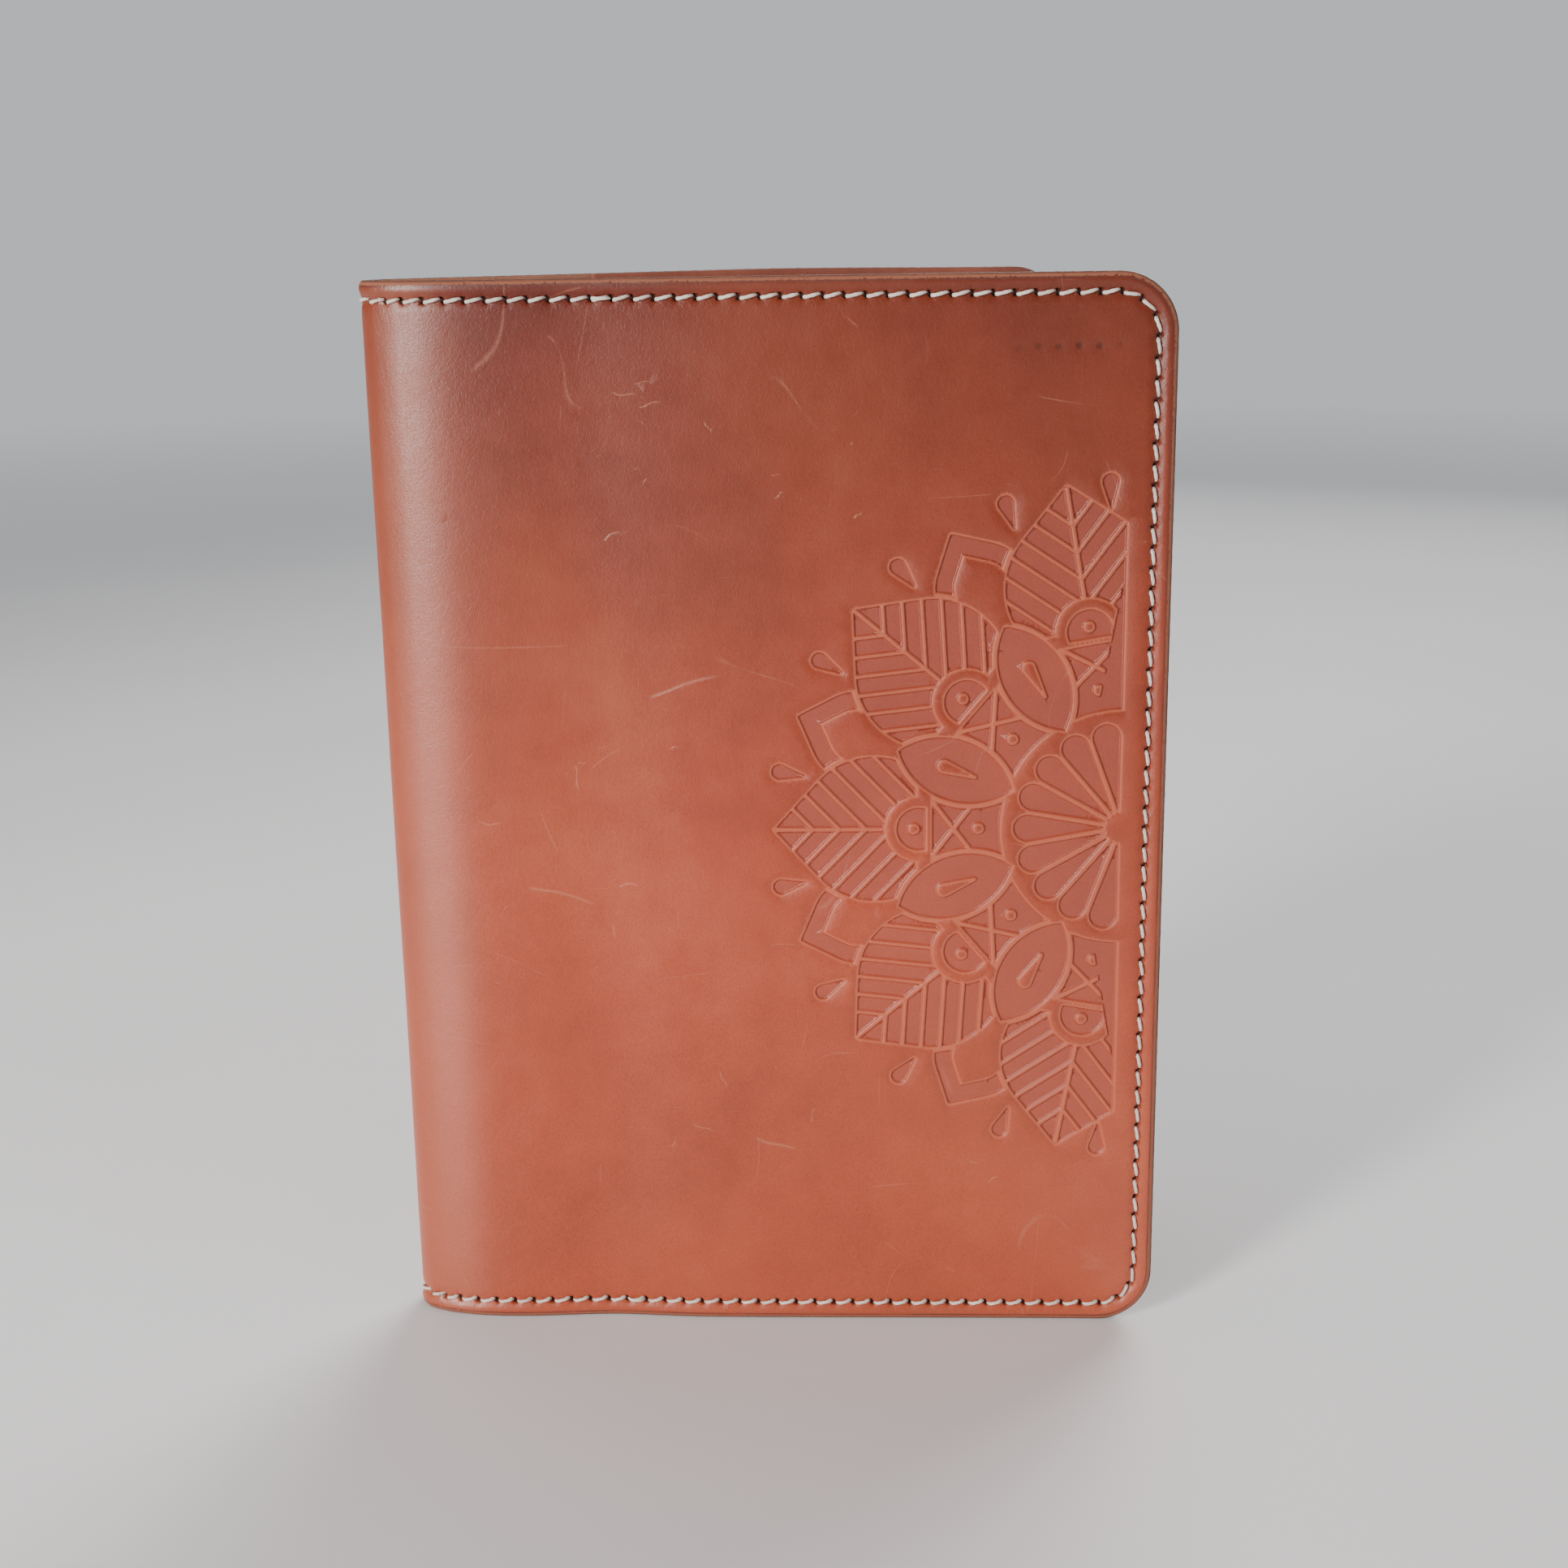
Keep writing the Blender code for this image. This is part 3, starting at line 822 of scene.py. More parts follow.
class Paint:
    """Short hand for building a node material."""

    def __init__(self, name):
        self.material = bpy.data.materials.new(name)
        self.material.use_nodes = True
        self.tree = self.material.node_tree
        self.shader = self.tree.nodes["Principled BSDF"]

    def node(self, kind, inputs, **values):
        n = self.tree.nodes.new(kind)
        for key, value in values.items():
            setattr(n, key, value)
        for key, value in inputs.items():
            self.put(n.inputs[key], value)
        return n

    def put(self, socket, value):
        if isinstance(value, bpy.types.NodeSocket):
            self.tree.links.new(value, socket)
        elif value is not None:
            if isinstance(value, tuple) and len(value) == 3 and len(socket.default_value) == 4:
                value = (*value, 1.0)
            socket.default_value = value

    def attribute(self, name):
        return self.node("ShaderNodeAttribute", {}, attribute_name=name).outputs["Fac"]

    def sheet(self):
        """The place on the unrolled hide, in mm, that every mesh carries."""
        return self.node("ShaderNodeAttribute", {}, attribute_name="sheet").outputs["Vector"]

    def vector(self, kind, a, b):
        return self.node("ShaderNodeVectorMath", {0: a, 1: b}, operation=kind).outputs[0]

    def scaled(self, vector, factors):
        return self.vector("MULTIPLY", vector, factors)

    def shifted(self, vector, shift):
        return self.vector("ADD", vector, (shift, shift, shift))

    def noise(self, vector, scale, detail, rough, distort=0.0):
        inputs = {"Vector": vector, "Scale": scale, "Detail": detail, "Roughness": rough,
                  "Distortion": distort}
        return self.node("ShaderNodeTexNoise", inputs).outputs["Fac"]

    def cells(self, vector, scale, feature="F1"):
        inputs = {"Vector": vector, "Scale": scale}
        return self.node("ShaderNodeTexVoronoi", inputs, feature=feature).outputs["Distance"]

    def ramp(self, value, *stops):
        n = self.node("ShaderNodeValToRGB", {"Fac": value})
        elements = n.color_ramp.elements
        while len(elements) < len(stops):
            elements.new(0.5)
        for e, (at, colour) in zip(elements, stops):
            e.position = at
            e.color = (*(colour if isinstance(colour, tuple) else (colour,) * 3), 1.0)
        return n.outputs["Color"]

    def math(self, kind, a, b=None):
        return self.node("ShaderNodeMath", {0: a, 1: b}, operation=kind).outputs[0]

    def times(self, a, b):
        return self.math("MULTIPLY", a, b)

    def plus(self, a, b):
        return self.math("ADD", a, b)

    def mix(self, factor, a, b, kind="MIX"):
        inputs = {"Factor": factor, "A": a, "B": b}
        n = self.node("ShaderNodeMix", inputs, data_type="RGBA", blend_type=kind)
        return n.outputs["Result"]

    def tint(self, base, mark, share, colour):
        """Mixes a colour in where a mark, or the attribute of that name, is."""
        mark = self.attribute(mark) if isinstance(mark, str) else mark
        return self.mix(self.times(mark, share), base, colour)

    def patches(self, vector, scale, low, high, distort=0.0):
        """0 to 1 in soft-edged patches of a noise."""
        return self.ramp(self.noise(vector, scale, 2, 0.5, distort), (low, 0.0), (high, 1.0))

    def bump(self, height, strength, distance, normal=None):
        inputs = {"Strength": strength, "Distance": distance, "Height": height, "Normal": normal}
        return self.node("ShaderNodeBump", inputs).outputs["Normal"]

    def set(self, **values):
        for key, value in values.items():
            self.put(self.shader.inputs[key.replace("_", " ")], value)
        return self.material


def skin_material():
    p = Paint("hide_skin")
    sheet = p.sheet()
    clouds = p.noise(sheet, 0.016, 3, 0.5, 0.3)
    mottle = p.noise(sheet, 0.12, 5, 0.6)
    tone = p.plus(p.times(clouds, 0.72), p.times(mottle, 0.28))
    colour = p.ramp(tone, (0.28, TAN_DARK), (0.52, TAN_MID), (0.76, TAN_LIGHT))
    height = p.math("DIVIDE", p.node("ShaderNodeSeparateXYZ", {0: sheet}).outputs["Z"], HEIGHT)
    # Painted light: the colour turns paler towards the bottom of the hide.
    low = p.ramp(height, (0.10, 1.0), (0.55, 0.0))
    colour = p.tint(colour, low, 0.40, (0.50, 0.112, 0.055))
    # Painted highlight: a pale lilac band along the fold.
    colour = p.tint(colour, "pull", 0.34, (0.86, 0.33, 0.275))
    # Painted shade: the colour darkens towards the top of the hide.
    painted_top_shade = p.ramp(height, (0.45, 1.0), (1.0, (0.285, 0.198, 0.155)))
    colour = p.mix(1.0, colour, painted_top_shade, "MULTIPLY")
    flecks = p.noise(sheet, 1.6, 4, 0.65)
    colour = p.mix(0.14, colour, p.ramp(flecks, (0.3, 0.3), (0.75, 1.0)), "MULTIPLY")
    grains = p.noise(sheet, 3.4, 2, 0.6)
    colour = p.mix(0.27, colour, p.ramp(grains, (0.34, 0.35), (0.60, 1.0)), "MULTIPLY")
    colour = p.tint(colour, p.patches(sheet, 0.75, 0.74, 0.80), 0.22, TAN_DARK)
    drift = p.patches(p.scaled(sheet, (1.0, 1.0, 0.55)), 0.011, 0.40, 0.62)
    brown = p.plus(p.times(drift, 0.20), p.times(p.attribute("bend"), 0.30))
    colour = p.mix(brown, colour, (0.39, 0.085, 0.026))
    # The pressed cells keep their own darker tone; their purplish cast is a painted reflection.
    colour = p.tint(colour, "pressed", 0.36, (0.350, 0.083, 0.062))
    # Lighter rims round the cells: partly the stretched leather's own tone, partly painted highlight.
    colour = p.tint(colour, "rim", 0.50, (0.64, 0.165, 0.088))
    colour = p.tint(colour, "stain", 0.70, (0.050, 0.007, 0.004))
    fine = p.noise(sheet, 5.0, 3, 0.7)
    scratch = p.times(p.attribute("scratch"), p.ramp(fine, (0.35, 0.2), (0.6, 1.0)))
    colour = p.tint(colour, scratch, 0.45, (0.66, 0.31, 0.20))
    gate = p.patches(sheet, 0.055, 0.50, 0.60)
    for stretch, shift in (((0.05, 1.0, 1.7), 0.0), ((1.5, 1.0, 0.045), 31.0)):
        moved = p.shifted(p.scaled(sheet, stretch), shift)
        worn = p.times(p.patches(moved, 1.0, 0.73, 0.79, distort=0.7), gate)
        colour = p.tint(colour, worn, 0.22, (0.62, 0.29, 0.19))
    for stretch, shift in (((1.0, 1.0, 0.35), 5.0), ((0.30, 1.0, 1.0), 47.0), ((0.8, 1.0, 0.6), 83.0)):
        moved = p.shifted(p.scaled(sheet, stretch), shift)
        line = p.math("ABSOLUTE", p.math("SUBTRACT", p.noise(moved, 0.045, 0, 0.5, 0.4), 0.5))
        hair = p.ramp(line, (0.0004, 1.0), (0.0017, 0.0))
        where = p.patches(moved, 0.11, 0.595, 0.66)
        hair = p.times(hair, p.times(where, p.ramp(fine, (0.35, 0.1), (0.6, 1.0))))
        colour = p.tint(colour, hair, 0.30, (0.62, 0.28, 0.18))
    ragged = p.noise(sheet, 1.4, 4, 0.65)
    noisy = p.times(p.math("SUBTRACT", ragged, 0.5), 3.0)
    band = p.ramp(p.plus(p.attribute("edge"), noisy), (0.42, 0.0), (0.62, 1.0))
    band = p.times(band, p.ramp(p.attribute("edge"), (0.02, 0.0), (0.2, 1.0)))
    tan = p.mix(fine, (0.20, 0.055, 0.026), (0.46, 0.185, 0.105))
    colour = p.tint(colour, band, 0.80, tan)
    line = p.times(p.attribute("line"), p.ramp(mottle, (0.32, 0.45), (0.55, 0.95)))
    colour = p.mix(line, colour, (0.10, 0.028, 0.018))
    # Painted shade: the stitching slots are coloured near black.
    colour = p.tint(colour, "pit", 0.96, (0.010, 0.004, 0.003))
    pores = p.cells(sheet, 2.6)
    creases = p.cells(p.scaled(sheet, (1.0, 1.0, 0.8)), 1.1, "DISTANCE_TO_EDGE")
    grain = p.plus(p.times(p.ramp(pores, (0.0, 0.0), (0.35, 1.0)), 0.35),
                   p.times(p.ramp(creases, (0.0, 0.0), (0.10, 1.0)), 0.25))
    grain = p.plus(grain, p.times(flecks, 0.8))
    grain = p.plus(grain, p.times(grains, 0.6))
    normal = p.bump(grain, 0.42, 0.00010)
    normal = p.bump(p.noise(sheet, 0.45, 3, 0.5), 0.15, 0.00035, normal)
    wrinkles = p.noise(p.scaled(sheet, (0.35, 1.0, 1.9)), 0.9, 4, 0.6, 1.2)
    wrinkled = p.bump(p.times(wrinkles, p.attribute("bend")), 0.12, 0.00022, normal)
    rough = p.ramp(mottle, (0.3, 0.35), (0.7, 0.44))
    rough = p.tint(rough, "pressed", 0.7, (0.27, 0.27, 0.27))
    rough = p.mix(band, rough, (0.72, 0.72, 0.72))
    rough = p.mix(p.attribute("pit"), rough, (0.95, 0.95, 0.95))
    return p.set(Base_Color=colour, Roughness=rough, Normal=wrinkled, Specular_IOR_Level=0.42,
                 Coat_Weight=p.times(p.math("SUBTRACT", 1.0, band),
                                    p.plus(0.12, p.times(p.attribute("bend"), 0.20))),
                 Coat_Roughness=0.26, Coat_Normal=normal)


def plain_leather(name, dark, mid, light, rough_low, rough_high, grain_scale, depth):
    p = Paint(name)
    sheet = p.sheet()
    clouds = p.noise(sheet, 0.05, 5, 0.6, 0.3)
    fibre = p.noise(sheet, grain_scale, 5, 0.7)
    tone = p.plus(p.times(clouds, 0.6), p.times(fibre, 0.4))
    colour = p.ramp(tone, (0.35, dark), (0.52, mid), (0.68, light))
    if name == "hide_flesh":
        # Painted shade: the stitching slots are coloured near black on the flesh side too.
        colour = p.tint(colour, "pit", 0.9, (0.02, 0.008, 0.006))
    pores = p.cells(sheet, grain_scale * 1.3)
    height = p.plus(fibre, p.times(p.ramp(pores, (0, 0), (0.4, 1.0)), 0.5))
    normal = p.bump(height, 0.5, depth)
    return p.set(Base_Color=colour, Roughness=p.ramp(fibre, (0.3, rough_low), (0.7, rough_high)),
                 Normal=normal, Specular_IOR_Level=0.35, Sheen_Weight=0.15, Sheen_Roughness=0.6)


def edge_material():
    p = Paint("hide_cut_edge")
    sheet = p.sheet()
    fibre = p.noise(p.scaled(sheet, (1.0, 3.2, 1.0)), 1.6, 5, 0.7)
    fine = p.noise(sheet, 6.0, 4, 0.7)
    tone = p.plus(p.times(fibre, 0.6), p.times(fine, 0.4))
    # The cut edge's browns are set darker, as the edge looks in shade: its own dark brown with painted
    # shade in it.
    colour = p.ramp(tone, (0.36, (0.045, 0.015, 0.008)), (0.58, (0.105, 0.037, 0.020)),
                    (0.72, (0.33, 0.135, 0.070)))
    normal = p.bump(tone, 0.8, 0.00018)
    return p.set(Base_Color=colour, Roughness=0.66, Normal=normal, Specular_IOR_Level=0.3)


def thread_material():
    p = Paint("waxed_cream_thread")
    sheet = p.sheet()
    ply = p.node("ShaderNodeTexWave", {"Vector": sheet, "Scale": 1.15, "Distortion": 1.0},
                 wave_type="BANDS", bands_direction="DIAGONAL").outputs["Fac"]
    fuzz = p.noise(sheet, 9.0, 3, 0.6)
    dirt = p.noise(sheet, 0.25, 3, 0.5)
    colour = p.ramp(dirt, (0.3, (0.68, 0.56, 0.47)), (0.6, (0.86, 0.77, 0.68)))
    colour = p.mix(0.30, colour, p.ramp(ply, (0.1, 0.55), (0.5, 1.0)), "MULTIPLY")
    height = p.plus(ply, p.times(fuzz, 0.5))
    normal = p.bump(height, 0.6, 0.00012)
    return p.set(Base_Color=colour, Roughness=0.55, Normal=normal, Specular_IOR_Level=0.4,
                 Sheen_Weight=0.2)


HIDE_SKIN = skin_material()
HIDE_FLESH = plain_leather("hide_flesh", (0.26, 0.10, 0.055), (0.38, 0.16, 0.09),
                           (0.50, 0.235, 0.14), 0.75, 0.9, 1.4, 0.0003)
HIDE_EDGE = edge_material()
LINING = plain_leather("pocket_leather", (0.20, 0.050, 0.028), (0.30, 0.080, 0.043),
                       (0.40, 0.120, 0.066), 0.45, 0.6, 2.2, 0.00014)
CARD = plain_leather("card_pocket_leather", (0.17, 0.040, 0.022), (0.26, 0.066, 0.035),
                     (0.35, 0.100, 0.055), 0.42, 0.58, 2.4, 0.00012)
THREAD_PAINT = thread_material()


# ---------------- the hide

CARVE_LEVELS = ((-0.05, 0.30), (0.10, 0.30), (-0.20, 0.32), (0.27, 0.30), (0.60, 0.5),
                (-0.42, 0.55), (1.0, 0.7))


def carve_points():
    """Rows of points that follow the walls of the pressed cells, with their spacings."""
    s0, s1 = cover_s(ROSETTE_U), cover_s(ROSETTE_U - ROSETTE_REACH)
    found = level_points(rosette_at, s0 - 1.2, s1, ROSETTE_Z - ROSETTE_REACH,
                         ROSETTE_Z + ROSETTE_REACH, 0.16,
                         [level for level, _ in CARVE_LEVELS])
    return [(np.concatenate(found[2 * i:2 * i + 2]), spacing, 0.07)
            for i, (_, spacing) in enumerate(CARVE_LEVELS)]


def scratch_points():
    found = []
    for x0, z0, x1, z1, width in SCRATCHES:
        size = math.hypot(x1 - x0, z1 - z0)
        t = np.linspace(0, 1, max(int(size / 0.45), 3))
        bend = 0.35 * np.sin(t * math.pi * 1.7 + x0)
        nx, nz = -(z1 - z0) / size, (x1 - x0) / size
        for off in (0, width * 1.2, -width * 1.2, width * 3, -width * 3):
            found.append(columns(x0 + (x1 - x0) * t + nx * (bend + off),
                                   z0 + (z1 - z0) * t + nz * (bend + off)))
    for s, z, _ in PRICKS:
        found += circles(s, z, (0.0, 0.2, 0.45, 0.7, 0.95))
    return np.concatenate(found)


def cut_rows(left, right, closeness):
    found = []
    for at, sign in ((left, 1), (right, -1)):
        if S_FRONT + 0.01 < at < S_BACK - 0.01:
            for d in closeness:
                found.append(row(at + sign * d, np.arange(0.5, HEIGHT, 0.9)))
    return np.concatenate(found)


hide_front = hide_piece("cover_hide_front", S_FRONT, JOINS[0],
                        [(cut_rows(S_FRONT, JOINS[0], (0.12, 0.4)), 0.1)] + carve_points()
                        + [(scratch_points(), 0.1)], 2.6, 1.7, exact=True)
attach(hide_front, "front")
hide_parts("front_cover")

FOLD_NAMES = ["front_edge_of_spine", "front_of_spine", "back_of_spine", "back_edge_of_spine"]
FOLD_NODES = {0: "front_fold", 1: "spine_panel", 3: "back_fold"}


def blend_piece(obj):
    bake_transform(obj)


for k in range(4):
    left, right = JOINS[k], JOINS[k + 1]
    rows = [row(left + (right - left) * share, np.arange(0.6, HEIGHT, 1.5))
            for share in np.arange(1, 14) / 14]
    piece = hide_piece("cover_hide_" + FOLD_NAMES[k], left, right,
                       [(cut_rows(left, right, (0.12,)), 0.1), (np.concatenate(rows), 0.3)],
                       0.8, 1.2)
    blend_piece(piece)
    if k in FOLD_NODES:
        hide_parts(FOLD_NODES[k])

hide_back = hide_piece("cover_hide_back", JOINS[4], S_BACK,
                       [(cut_rows(JOINS[4], S_BACK, (0.12, 0.4)), 0.1)], 2.6, 1.8)
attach(hide_back, "back")
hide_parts("back_cover")

# ---------------- pockets inside the covers

POCKET_U = 42.5
TRAY_U = 143.5
TRAY_LOW, TRAY_HIGH = 9.0, 211.0
TRAY_CORNER = 6.0
POCKET_LEATHER = 1.4
FLANGE_LEVEL = 1.16
TRAY_LEVEL = 3.15
TRAY_RAMP = 2.5
CARD_U0, CARD_U1 = 45.0, 141.0
CARD_LOW = (36.0, 124.0)
CARD_TALL = 50.0
CARD_FLANGE = 3.2
CARD_SEAM = 1.9
CARD_LEATHER = 1.0
CARD_RISE = 0.60
CARD_CORNERS = (3.0, 1.2)


def three_sides(u, z):
    """Distance inside a tray that is open on the side towards the spine."""
    return round_box(u - TRAY_U + TRAY_CORNER,
                     np.maximum(TRAY_LOW + TRAY_CORNER - z, z - TRAY_HIGH + TRAY_CORNER), TRAY_CORNER)


def tray_lift(u, z):
    """Level of a pocket's face next to the hide, inward from the hide's middle."""
    inside = three_sides(u, z)
    sag = 0.22 * np.sin(u * 0.052) * np.sin(z * 0.043 + 0.6) * smooth(2, 20, inside)
    return FLANGE_LEVEL + (TRAY_LEVEL - FLANGE_LEVEL) * smooth(0, TRAY_RAMP, inside) + sag


def sheet_piece(name, loop, mesh, low_fn, thick, material, holes, front, edge_fn):
    """A closed sheet of leather lying inside a cover; its seen face has rounded edges."""
    s, z = mesh[0].T
    low = low_fn(cover_u(s, front), z)
    edge = edge_fn(cover_u(s, front), z)
    pit = pit_share(holes(s, z))
    high = low + thick - 0.35 * (1 - smooth(-0.1, 0.7, edge)) - 0.7 * pit
    high = high - 0.05 * bump(edge - 2.6, 0.3) + 0.02 * np.sin(s * 0.4) * np.sin(z * 0.37)
    low = low + 0.30 * (1 - smooth(-0.1, 0.6, edge))
    border = {"edge": 1 - smooth(0.2, 0.6, edge)}
    seen = {"pit": pit, "line": bump(edge - 2.6, 0.35), **border}
    return closed_sheet(name, loop, [(*mesh, -low, border), (*mesh, -high, seen)], [(0.5, 0.10)],
                        np.ones(len(loop)), (0.05, HEIGHT - 0.05), [material], 60)


def pocket_edge(u, z):
    mouth = u - POCKET_U
    return np.minimum(mouth, edge_distance(cover_s(u), z))


def rows_round_tray(distances, spacing, front):
    """Rows of points following the three closed sides of a tray."""
    found = []
    u0 = POCKET_U + 0.5
    for d in distances:
        k = TRAY_CORNER - d
        low = arc(TRAY_U - d - k, TRAY_LOW + d + k, k, -90, 0, 12)
        high = columns(low[::-1, 0], TRAY_LOW + TRAY_HIGH - low[::-1, 1])
        path = np.concatenate([[[u0, TRAY_LOW + d]], low, high, [[u0, TRAY_HIGH - d]]])
        pts = spaced(path, spacing)
        found.append(columns(cover_s(pts[:, 0], front), pts[:, 1]))
    return np.concatenate(found)


def build_pocket(front):
    side = "front" if front else "back"
    mouth = cover_s(POCKET_U, front)
    left, right = (S_FRONT, mouth) if front else (mouth, S_BACK)
    loop = outline_points(left, right, 1.0)
    ways = (0.3, 0.7, 2.3, 2.6, 2.9)
    step = -1 if front else 1
    mouth_rows = [row(mouth + step * d, np.linspace(0.6, HEIGHT - 0.6, 180)) for d in ways]
    box = (left, right, 0, HEIGHT)
    mesh = filled(loop, box, [
        (slot_rings(left, right), 0.09), (rows_inside(ways, 0.8, left, right), 0.25),
        (np.concatenate(mouth_rows), 0.25),
        (rows_round_tray((-0.2, 0.4, 0.9, 1.5, 2.1, 2.7), 1.2, front), 0.4),
        (grid_points(*box, 3.0), 1.8)],
        lambda s, z: (edge_distance(s, z) > 0.15) & (np.abs(s - mouth) > 0.15))
    obj = sheet_piece("pocket_" + side, loop, mesh, tray_lift, POCKET_LEATHER, LINING,
                      hole_distance, front, pocket_edge)
    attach(obj, side)
    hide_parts(side + "_pocket")


def card_outline(z0, spacing):
    """Loop of a card pocket in u and z, open side at the top, small corners."""
    z1 = z0 + CARD_TALL
    low_r, top_r = CARD_CORNERS
    rough = np.concatenate([arc(CARD_U0 + low_r, z0 + low_r, low_r, 180, 270, 7),
                            arc(CARD_U1 - low_r, z0 + low_r, low_r, 270, 360, 7),
                            arc(CARD_U1 - top_r, z1 - top_r, top_r, 0, 90, 7),
                            arc(CARD_U0 + top_r, z1 - top_r, top_r, 90, 180, 7)])
    found = []
    for a, b in zip(rough, np.roll(rough, -1, 0)):
        n = max(int(round(math.dist(a, b) / spacing)), 1)
        found.append(a + (b - a) * (np.arange(n) / n)[:, None])
    return np.concatenate(found)


def on_front(points):
    """The same points with s in place of u."""
    return columns(cover_s(points[:, 0]), points[:, 1])


def build_card_pocket(label, z0):
    z1 = z0 + CARD_TALL
    path = card_seam(z0)

    def inner(u, z):
        """Distance in from the two sides and the base."""
        return np.minimum(np.minimum(u - CARD_U0, CARD_U1 - u), z - z0)

    def level(u, z):
        rest = tray_lift(u, z) + POCKET_LEATHER + 0.03
        return rest + CARD_RISE * smooth(CARD_FLANGE, CARD_FLANGE + 1.3, inner(u, z))

    def edge(u, z):
        return np.minimum(inner(u, z), z1 - z)

    def holes(s, z):
        u = cover_u(s, True)
        return np.min([np.hypot(u - pu, z - pz) for pu, pz in path], 0) - 0.34

    def keep(s, z):
        u = cover_u(s, True)
        across = np.abs(u - (CARD_U0 + CARD_U1) / 2) - (CARD_U1 - CARD_U0) / 2
        kept = edge(u, z) > 0.12
        for r, past in zip(CARD_CORNERS, (z0 - z, z - z1)):
            kept &= np.hypot(np.maximum(across + r, 0), np.maximum(past + r, 0)) < r - 0.15
        return kept

    rings = [ring for u, z in path for ring in circles(u, z, (0.0, 0.18, 0.36, 0.6))]
    rows = [(np.concatenate(rings), 0.09)]
    for d in (0.3, 0.65, 3.2, 3.6, 4.0, 4.5):
        z = np.arange(z0 + d, z1, 0.9)
        rows += [(row(np.arange(CARD_U0 + d, CARD_U1 - d, 0.9), z0 + d), 0.25),
                 (row(CARD_U0 + d, z), 0.25), (row(CARD_U1 - d, z), 0.25)]
    rows += [(row(np.arange(CARD_U0 + 1, CARD_U1 - 1, 0.9), z1 - d), 0.2)
             for d in (0.3, 0.65, 2.3, 2.6, 2.9)]
    box = (cover_s(CARD_U1), cover_s(CARD_U0), z0, z1)
    loop = on_front(card_outline(z0, 0.8))[::-1]
    mesh = filled(loop, box, [(on_front(points), spacing) for points, spacing in rows]
                  + [(grid_points(*box, 2.6), 1.6)], keep)
    obj = sheet_piece("leather_card_pocket_" + label, loop, mesh, level, CARD_LEATHER, CARD,
                      holes, True, edge)
    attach(obj, "front")
    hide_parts("card_pocket_" + label)
    paths = []
    for a, b in zip(path[:-1], path[1:]):
        d = unit(b - a)
        side = np.array([-d[1], d[0]])
        start, end = a + d * 0.15 + side * 0.14, b - d * 0.15 - side * 0.14
        la, lb = (float(level(*p)) + CARD_LEATHER for p in (a, b))
        start, end = (np.array([cover_s(p[0]), p[1]]) for p in (start, end))
        paths.append(stitch_path(start, end, -la, -lb, -1, 0.16, 0.45))
    threads = thread_mesh("waxed_card_thread_" + label, paths, CARD_THREAD)
    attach(threads, "front")
    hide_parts("card_thread_" + label)


def card_seam(z0):
    """Holes of a card pocket's seam: down one side, along the base, up the other."""
    u0, u1 = CARD_U0 + CARD_SEAM, CARD_U1 - CARD_SEAM
    low, high = z0 + CARD_SEAM, z0 + CARD_TALL - 1.6
    down = int(round((high - low) / 3.4))
    across = int(round((u1 - u0) / 3.4))
    z = np.linspace(high, low, down + 1)
    u = np.linspace(u0, u1, across + 1)
    return np.concatenate([row(u0, z[:-1]), row(u, low), row(u1, z[::-1][1:])])


build_pocket(True)
build_pocket(False)
for label, z0 in zip(("lower", "upper"), CARD_LOW):
    build_card_pocket(label, z0)

# ---------------- the edge seam


def inner_level(point):
    """Level of the inside face at a hole: on the hide, or on the pocket sewn to it."""
    s, z = point
    for front in (True, False):
        u = cover_u(s, front)
        if u > POCKET_U + 0.4:
            return -float(tray_lift(np.array(u), np.array(z))) - POCKET_LEATHER + 0.04
    return -HALF_HIDE + 0.05


OUTER_PATHS = seam_stitches(1, lambda point: HALF_HIDE - 0.16)
INNER_PATHS = seam_stitches(-1, inner_level)
LIMITS = [S_FRONT - 5] + JOINS + [S_BACK + 5]
PIECE_NAMES = ["front"] + FOLD_NAMES + ["back"]
for k in range(6):
    paths = [split_path(p, LIMITS[k], LIMITS[k + 1]) for p in OUTER_PATHS + INNER_PATHS]
    paths = [p for p in paths if p is not None]
    threads = thread_mesh("seam_thread_" + PIECE_NAMES[k], paths, THREAD)
    if k in (0, 5):
        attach(threads, PIECE_NAMES[k])
        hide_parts(PIECE_NAMES[k] + "_seam_thread")
        continue
    blend_piece(threads)
    if k - 1 in FOLD_NODES:
        node = FOLD_NODES[k - 1] + "_stitch_"
        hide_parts(node + "top", node + "bottom")

# ---------------- floor, light, camera

AIR_COLOUR = (0.93, 0.95, 1.0)
AIR_STRENGTH, SEEN_STRENGTH = 0.175, 0.62
paint = Paint("studio_floor")
place = paint.node("ShaderNodeTexCoord", {}).outputs["Object"]
tone = paint.ramp(paint.noise(place, 4.0, 4, 0.5), (0.3, 0.80), (0.7, 0.86))
reach = paint.node("ShaderNodeVectorMath", {0: place}, operation="LENGTH").outputs["Value"]
far = paint.ramp(paint.math("DIVIDE", reach, 4.0), (0.10, 0.0), (0.55, 1.0))
paint.set(Base_Color=paint.mix(far, tone, (0.0, 0.0, 0.0)), Roughness=0.85,
          Specular_IOR_Level=paint.times(paint.math("SUBTRACT", 1.0, far), 0.5),
          Emission_Color=AIR_COLOUR, Emission_Strength=paint.times(far, SEEN_STRENGTH))
bpy.ops.mesh.primitive_plane_add(size=40, location=(0, 0, -0.0002))
floor = bpy.context.object
floor.name = "studio_floor"
floor.data.materials.append(paint.material)

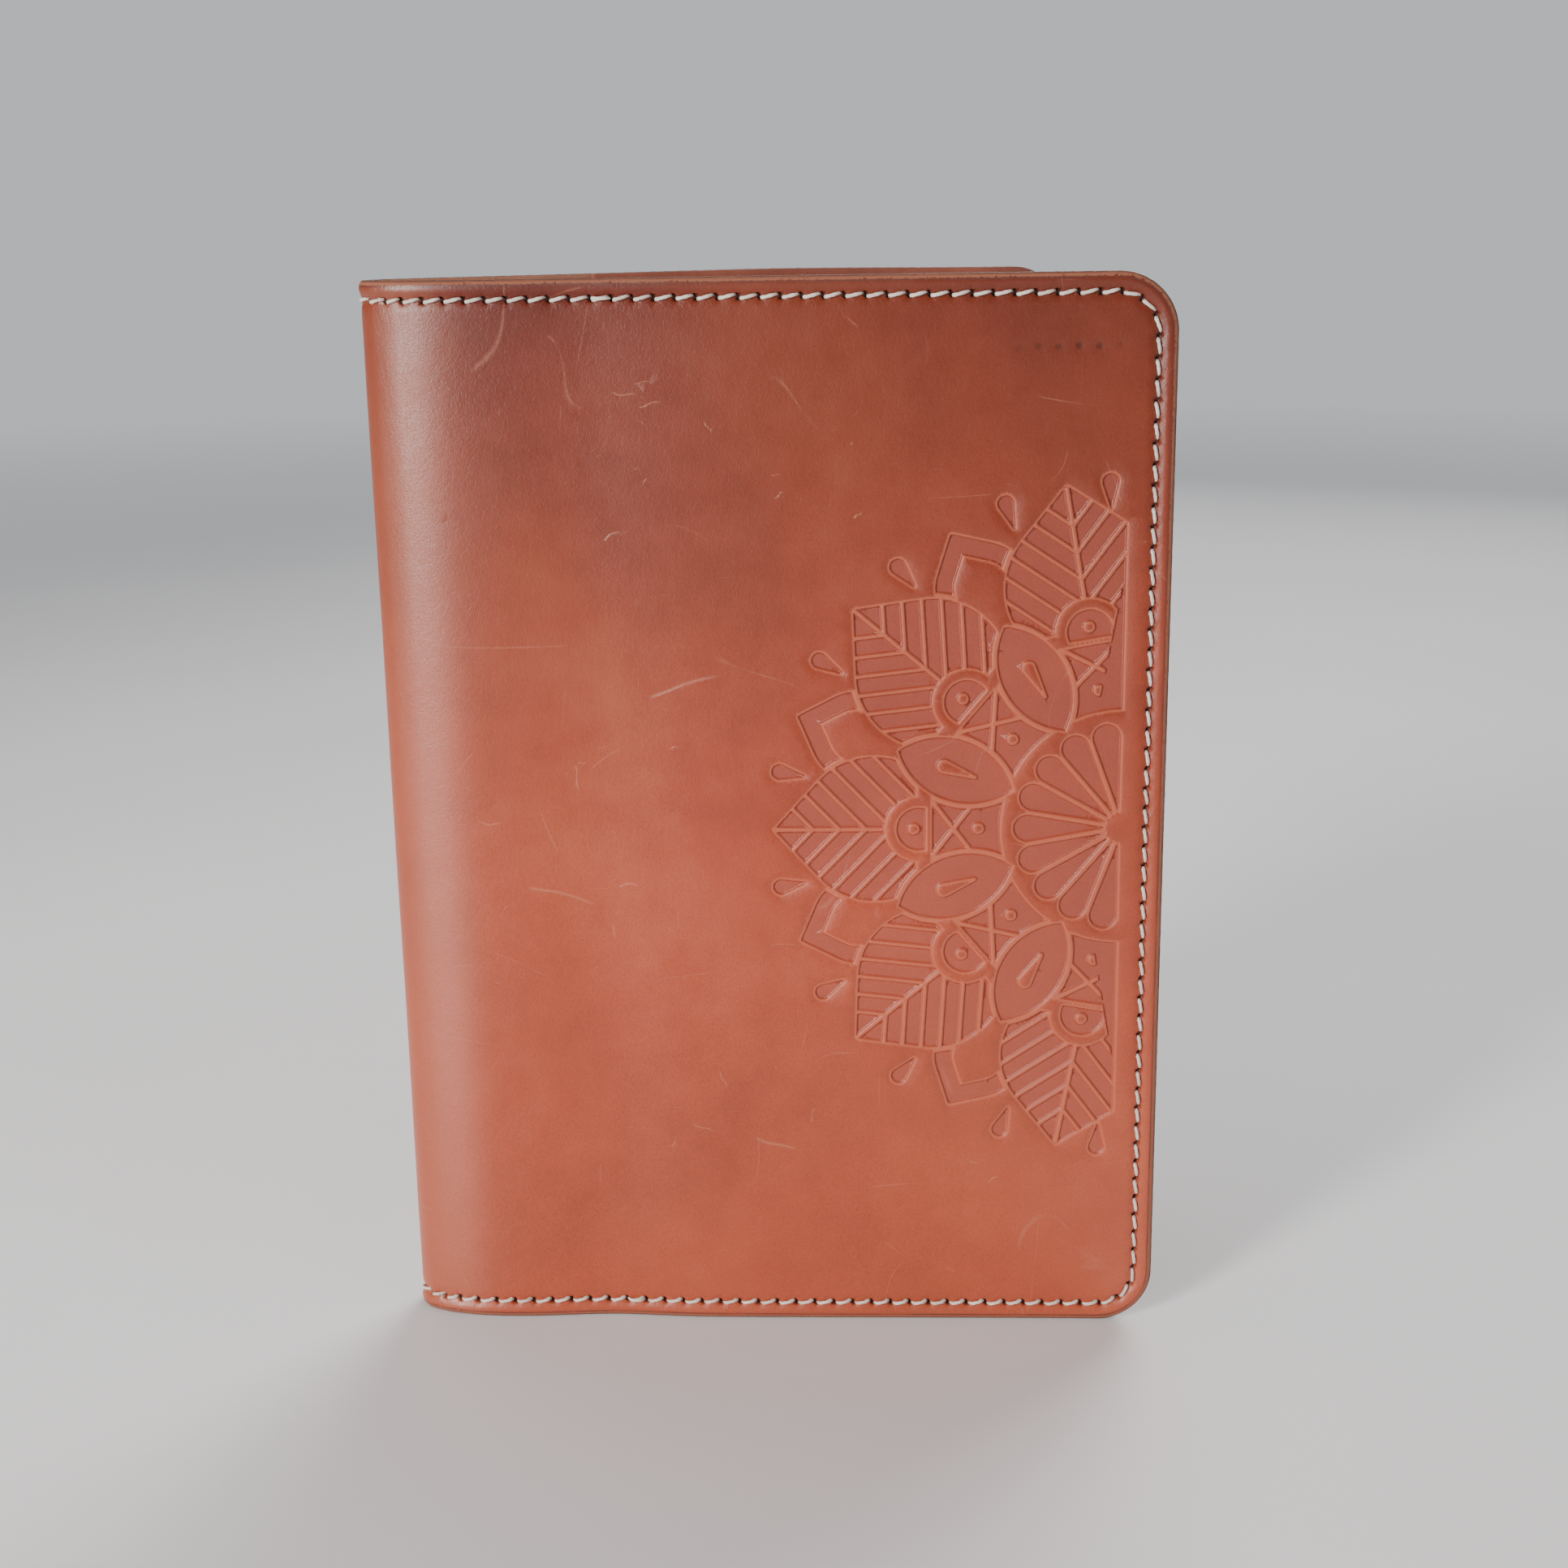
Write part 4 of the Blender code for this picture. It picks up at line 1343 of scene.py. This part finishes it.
scene = bpy.context.scene
world = bpy.data.worlds.new("studio_air")
world.use_nodes = True
nodes, links = world.node_tree.nodes, world.node_tree.links
nodes["Background"].inputs["Color"].default_value = (*AIR_COLOUR, 1.0)
sight = nodes.new("ShaderNodeLightPath")
strength = nodes.new("ShaderNodeMapRange")
strength.inputs["To Min"].default_value = AIR_STRENGTH
strength.inputs["To Max"].default_value = SEEN_STRENGTH
links.new(sight.outputs["Is Camera Ray"], strength.inputs["Value"])
links.new(strength.outputs["Result"], nodes["Background"].inputs["Strength"])
scene.world = world


def area_light(name, place, target, width, height, power, colour, spread=180):
    data = bpy.data.lights.new(name, "AREA")
    data.shape = "RECTANGLE"
    data.size = width
    data.size_y = height
    data.energy = power
    data.color = colour
    data.spread = math.radians(spread)
    light = bpy.data.objects.new(name, data)
    scene.collection.objects.link(light)
    light.location = place
    light.rotation_euler = (Vector(target) - Vector(place)).to_track_quat("-Z", "Y").to_euler()


area_light("window_left", (-0.80, -1.10, 0.50), (0.05, 0.0, 0.10), 0.30, 0.95, 29.5, (1.0, 0.97, 0.94))
area_light("fill_right", (1.1, -0.4, 0.8), (0.08, 0.0, 0.1), 0.7, 0.7, 2.0, (0.95, 0.97, 1.0))
area_light("back_soft", (0.60, 1.25, 0.70), (0.05, 0.0, 0.1), 1.2, 1.2, 6.0, (1.0, 0.98, 0.96), 60)
area_light("top_soft", (-0.2, 0.6, 1.3), (0.05, 0.0, 0.1), 1.0, 1.0, 3.5, (1.0, 1.0, 1.0))

camera_data = bpy.data.cameras.new("camera")
camera_data.lens = 50.31
camera_data.sensor_width = 36.0
camera_data.clip_start = 0.01
camera_data.clip_end = 50.0
camera = bpy.data.objects.new("camera", camera_data)
scene.collection.objects.link(camera)
yaw, pitch, roll = math.radians(2.26), math.radians(14.91), math.radians(-0.92)
camera.matrix_world = (Matrix.Translation((0.0970, -0.4354, 0.2339))
                       @ Matrix.Rotation(yaw, 4, "Z") @ Matrix.Rotation(math.pi / 2 - pitch, 4, "X")
                       @ Matrix.Rotation(roll, 4, "Z"))
scene.camera = camera
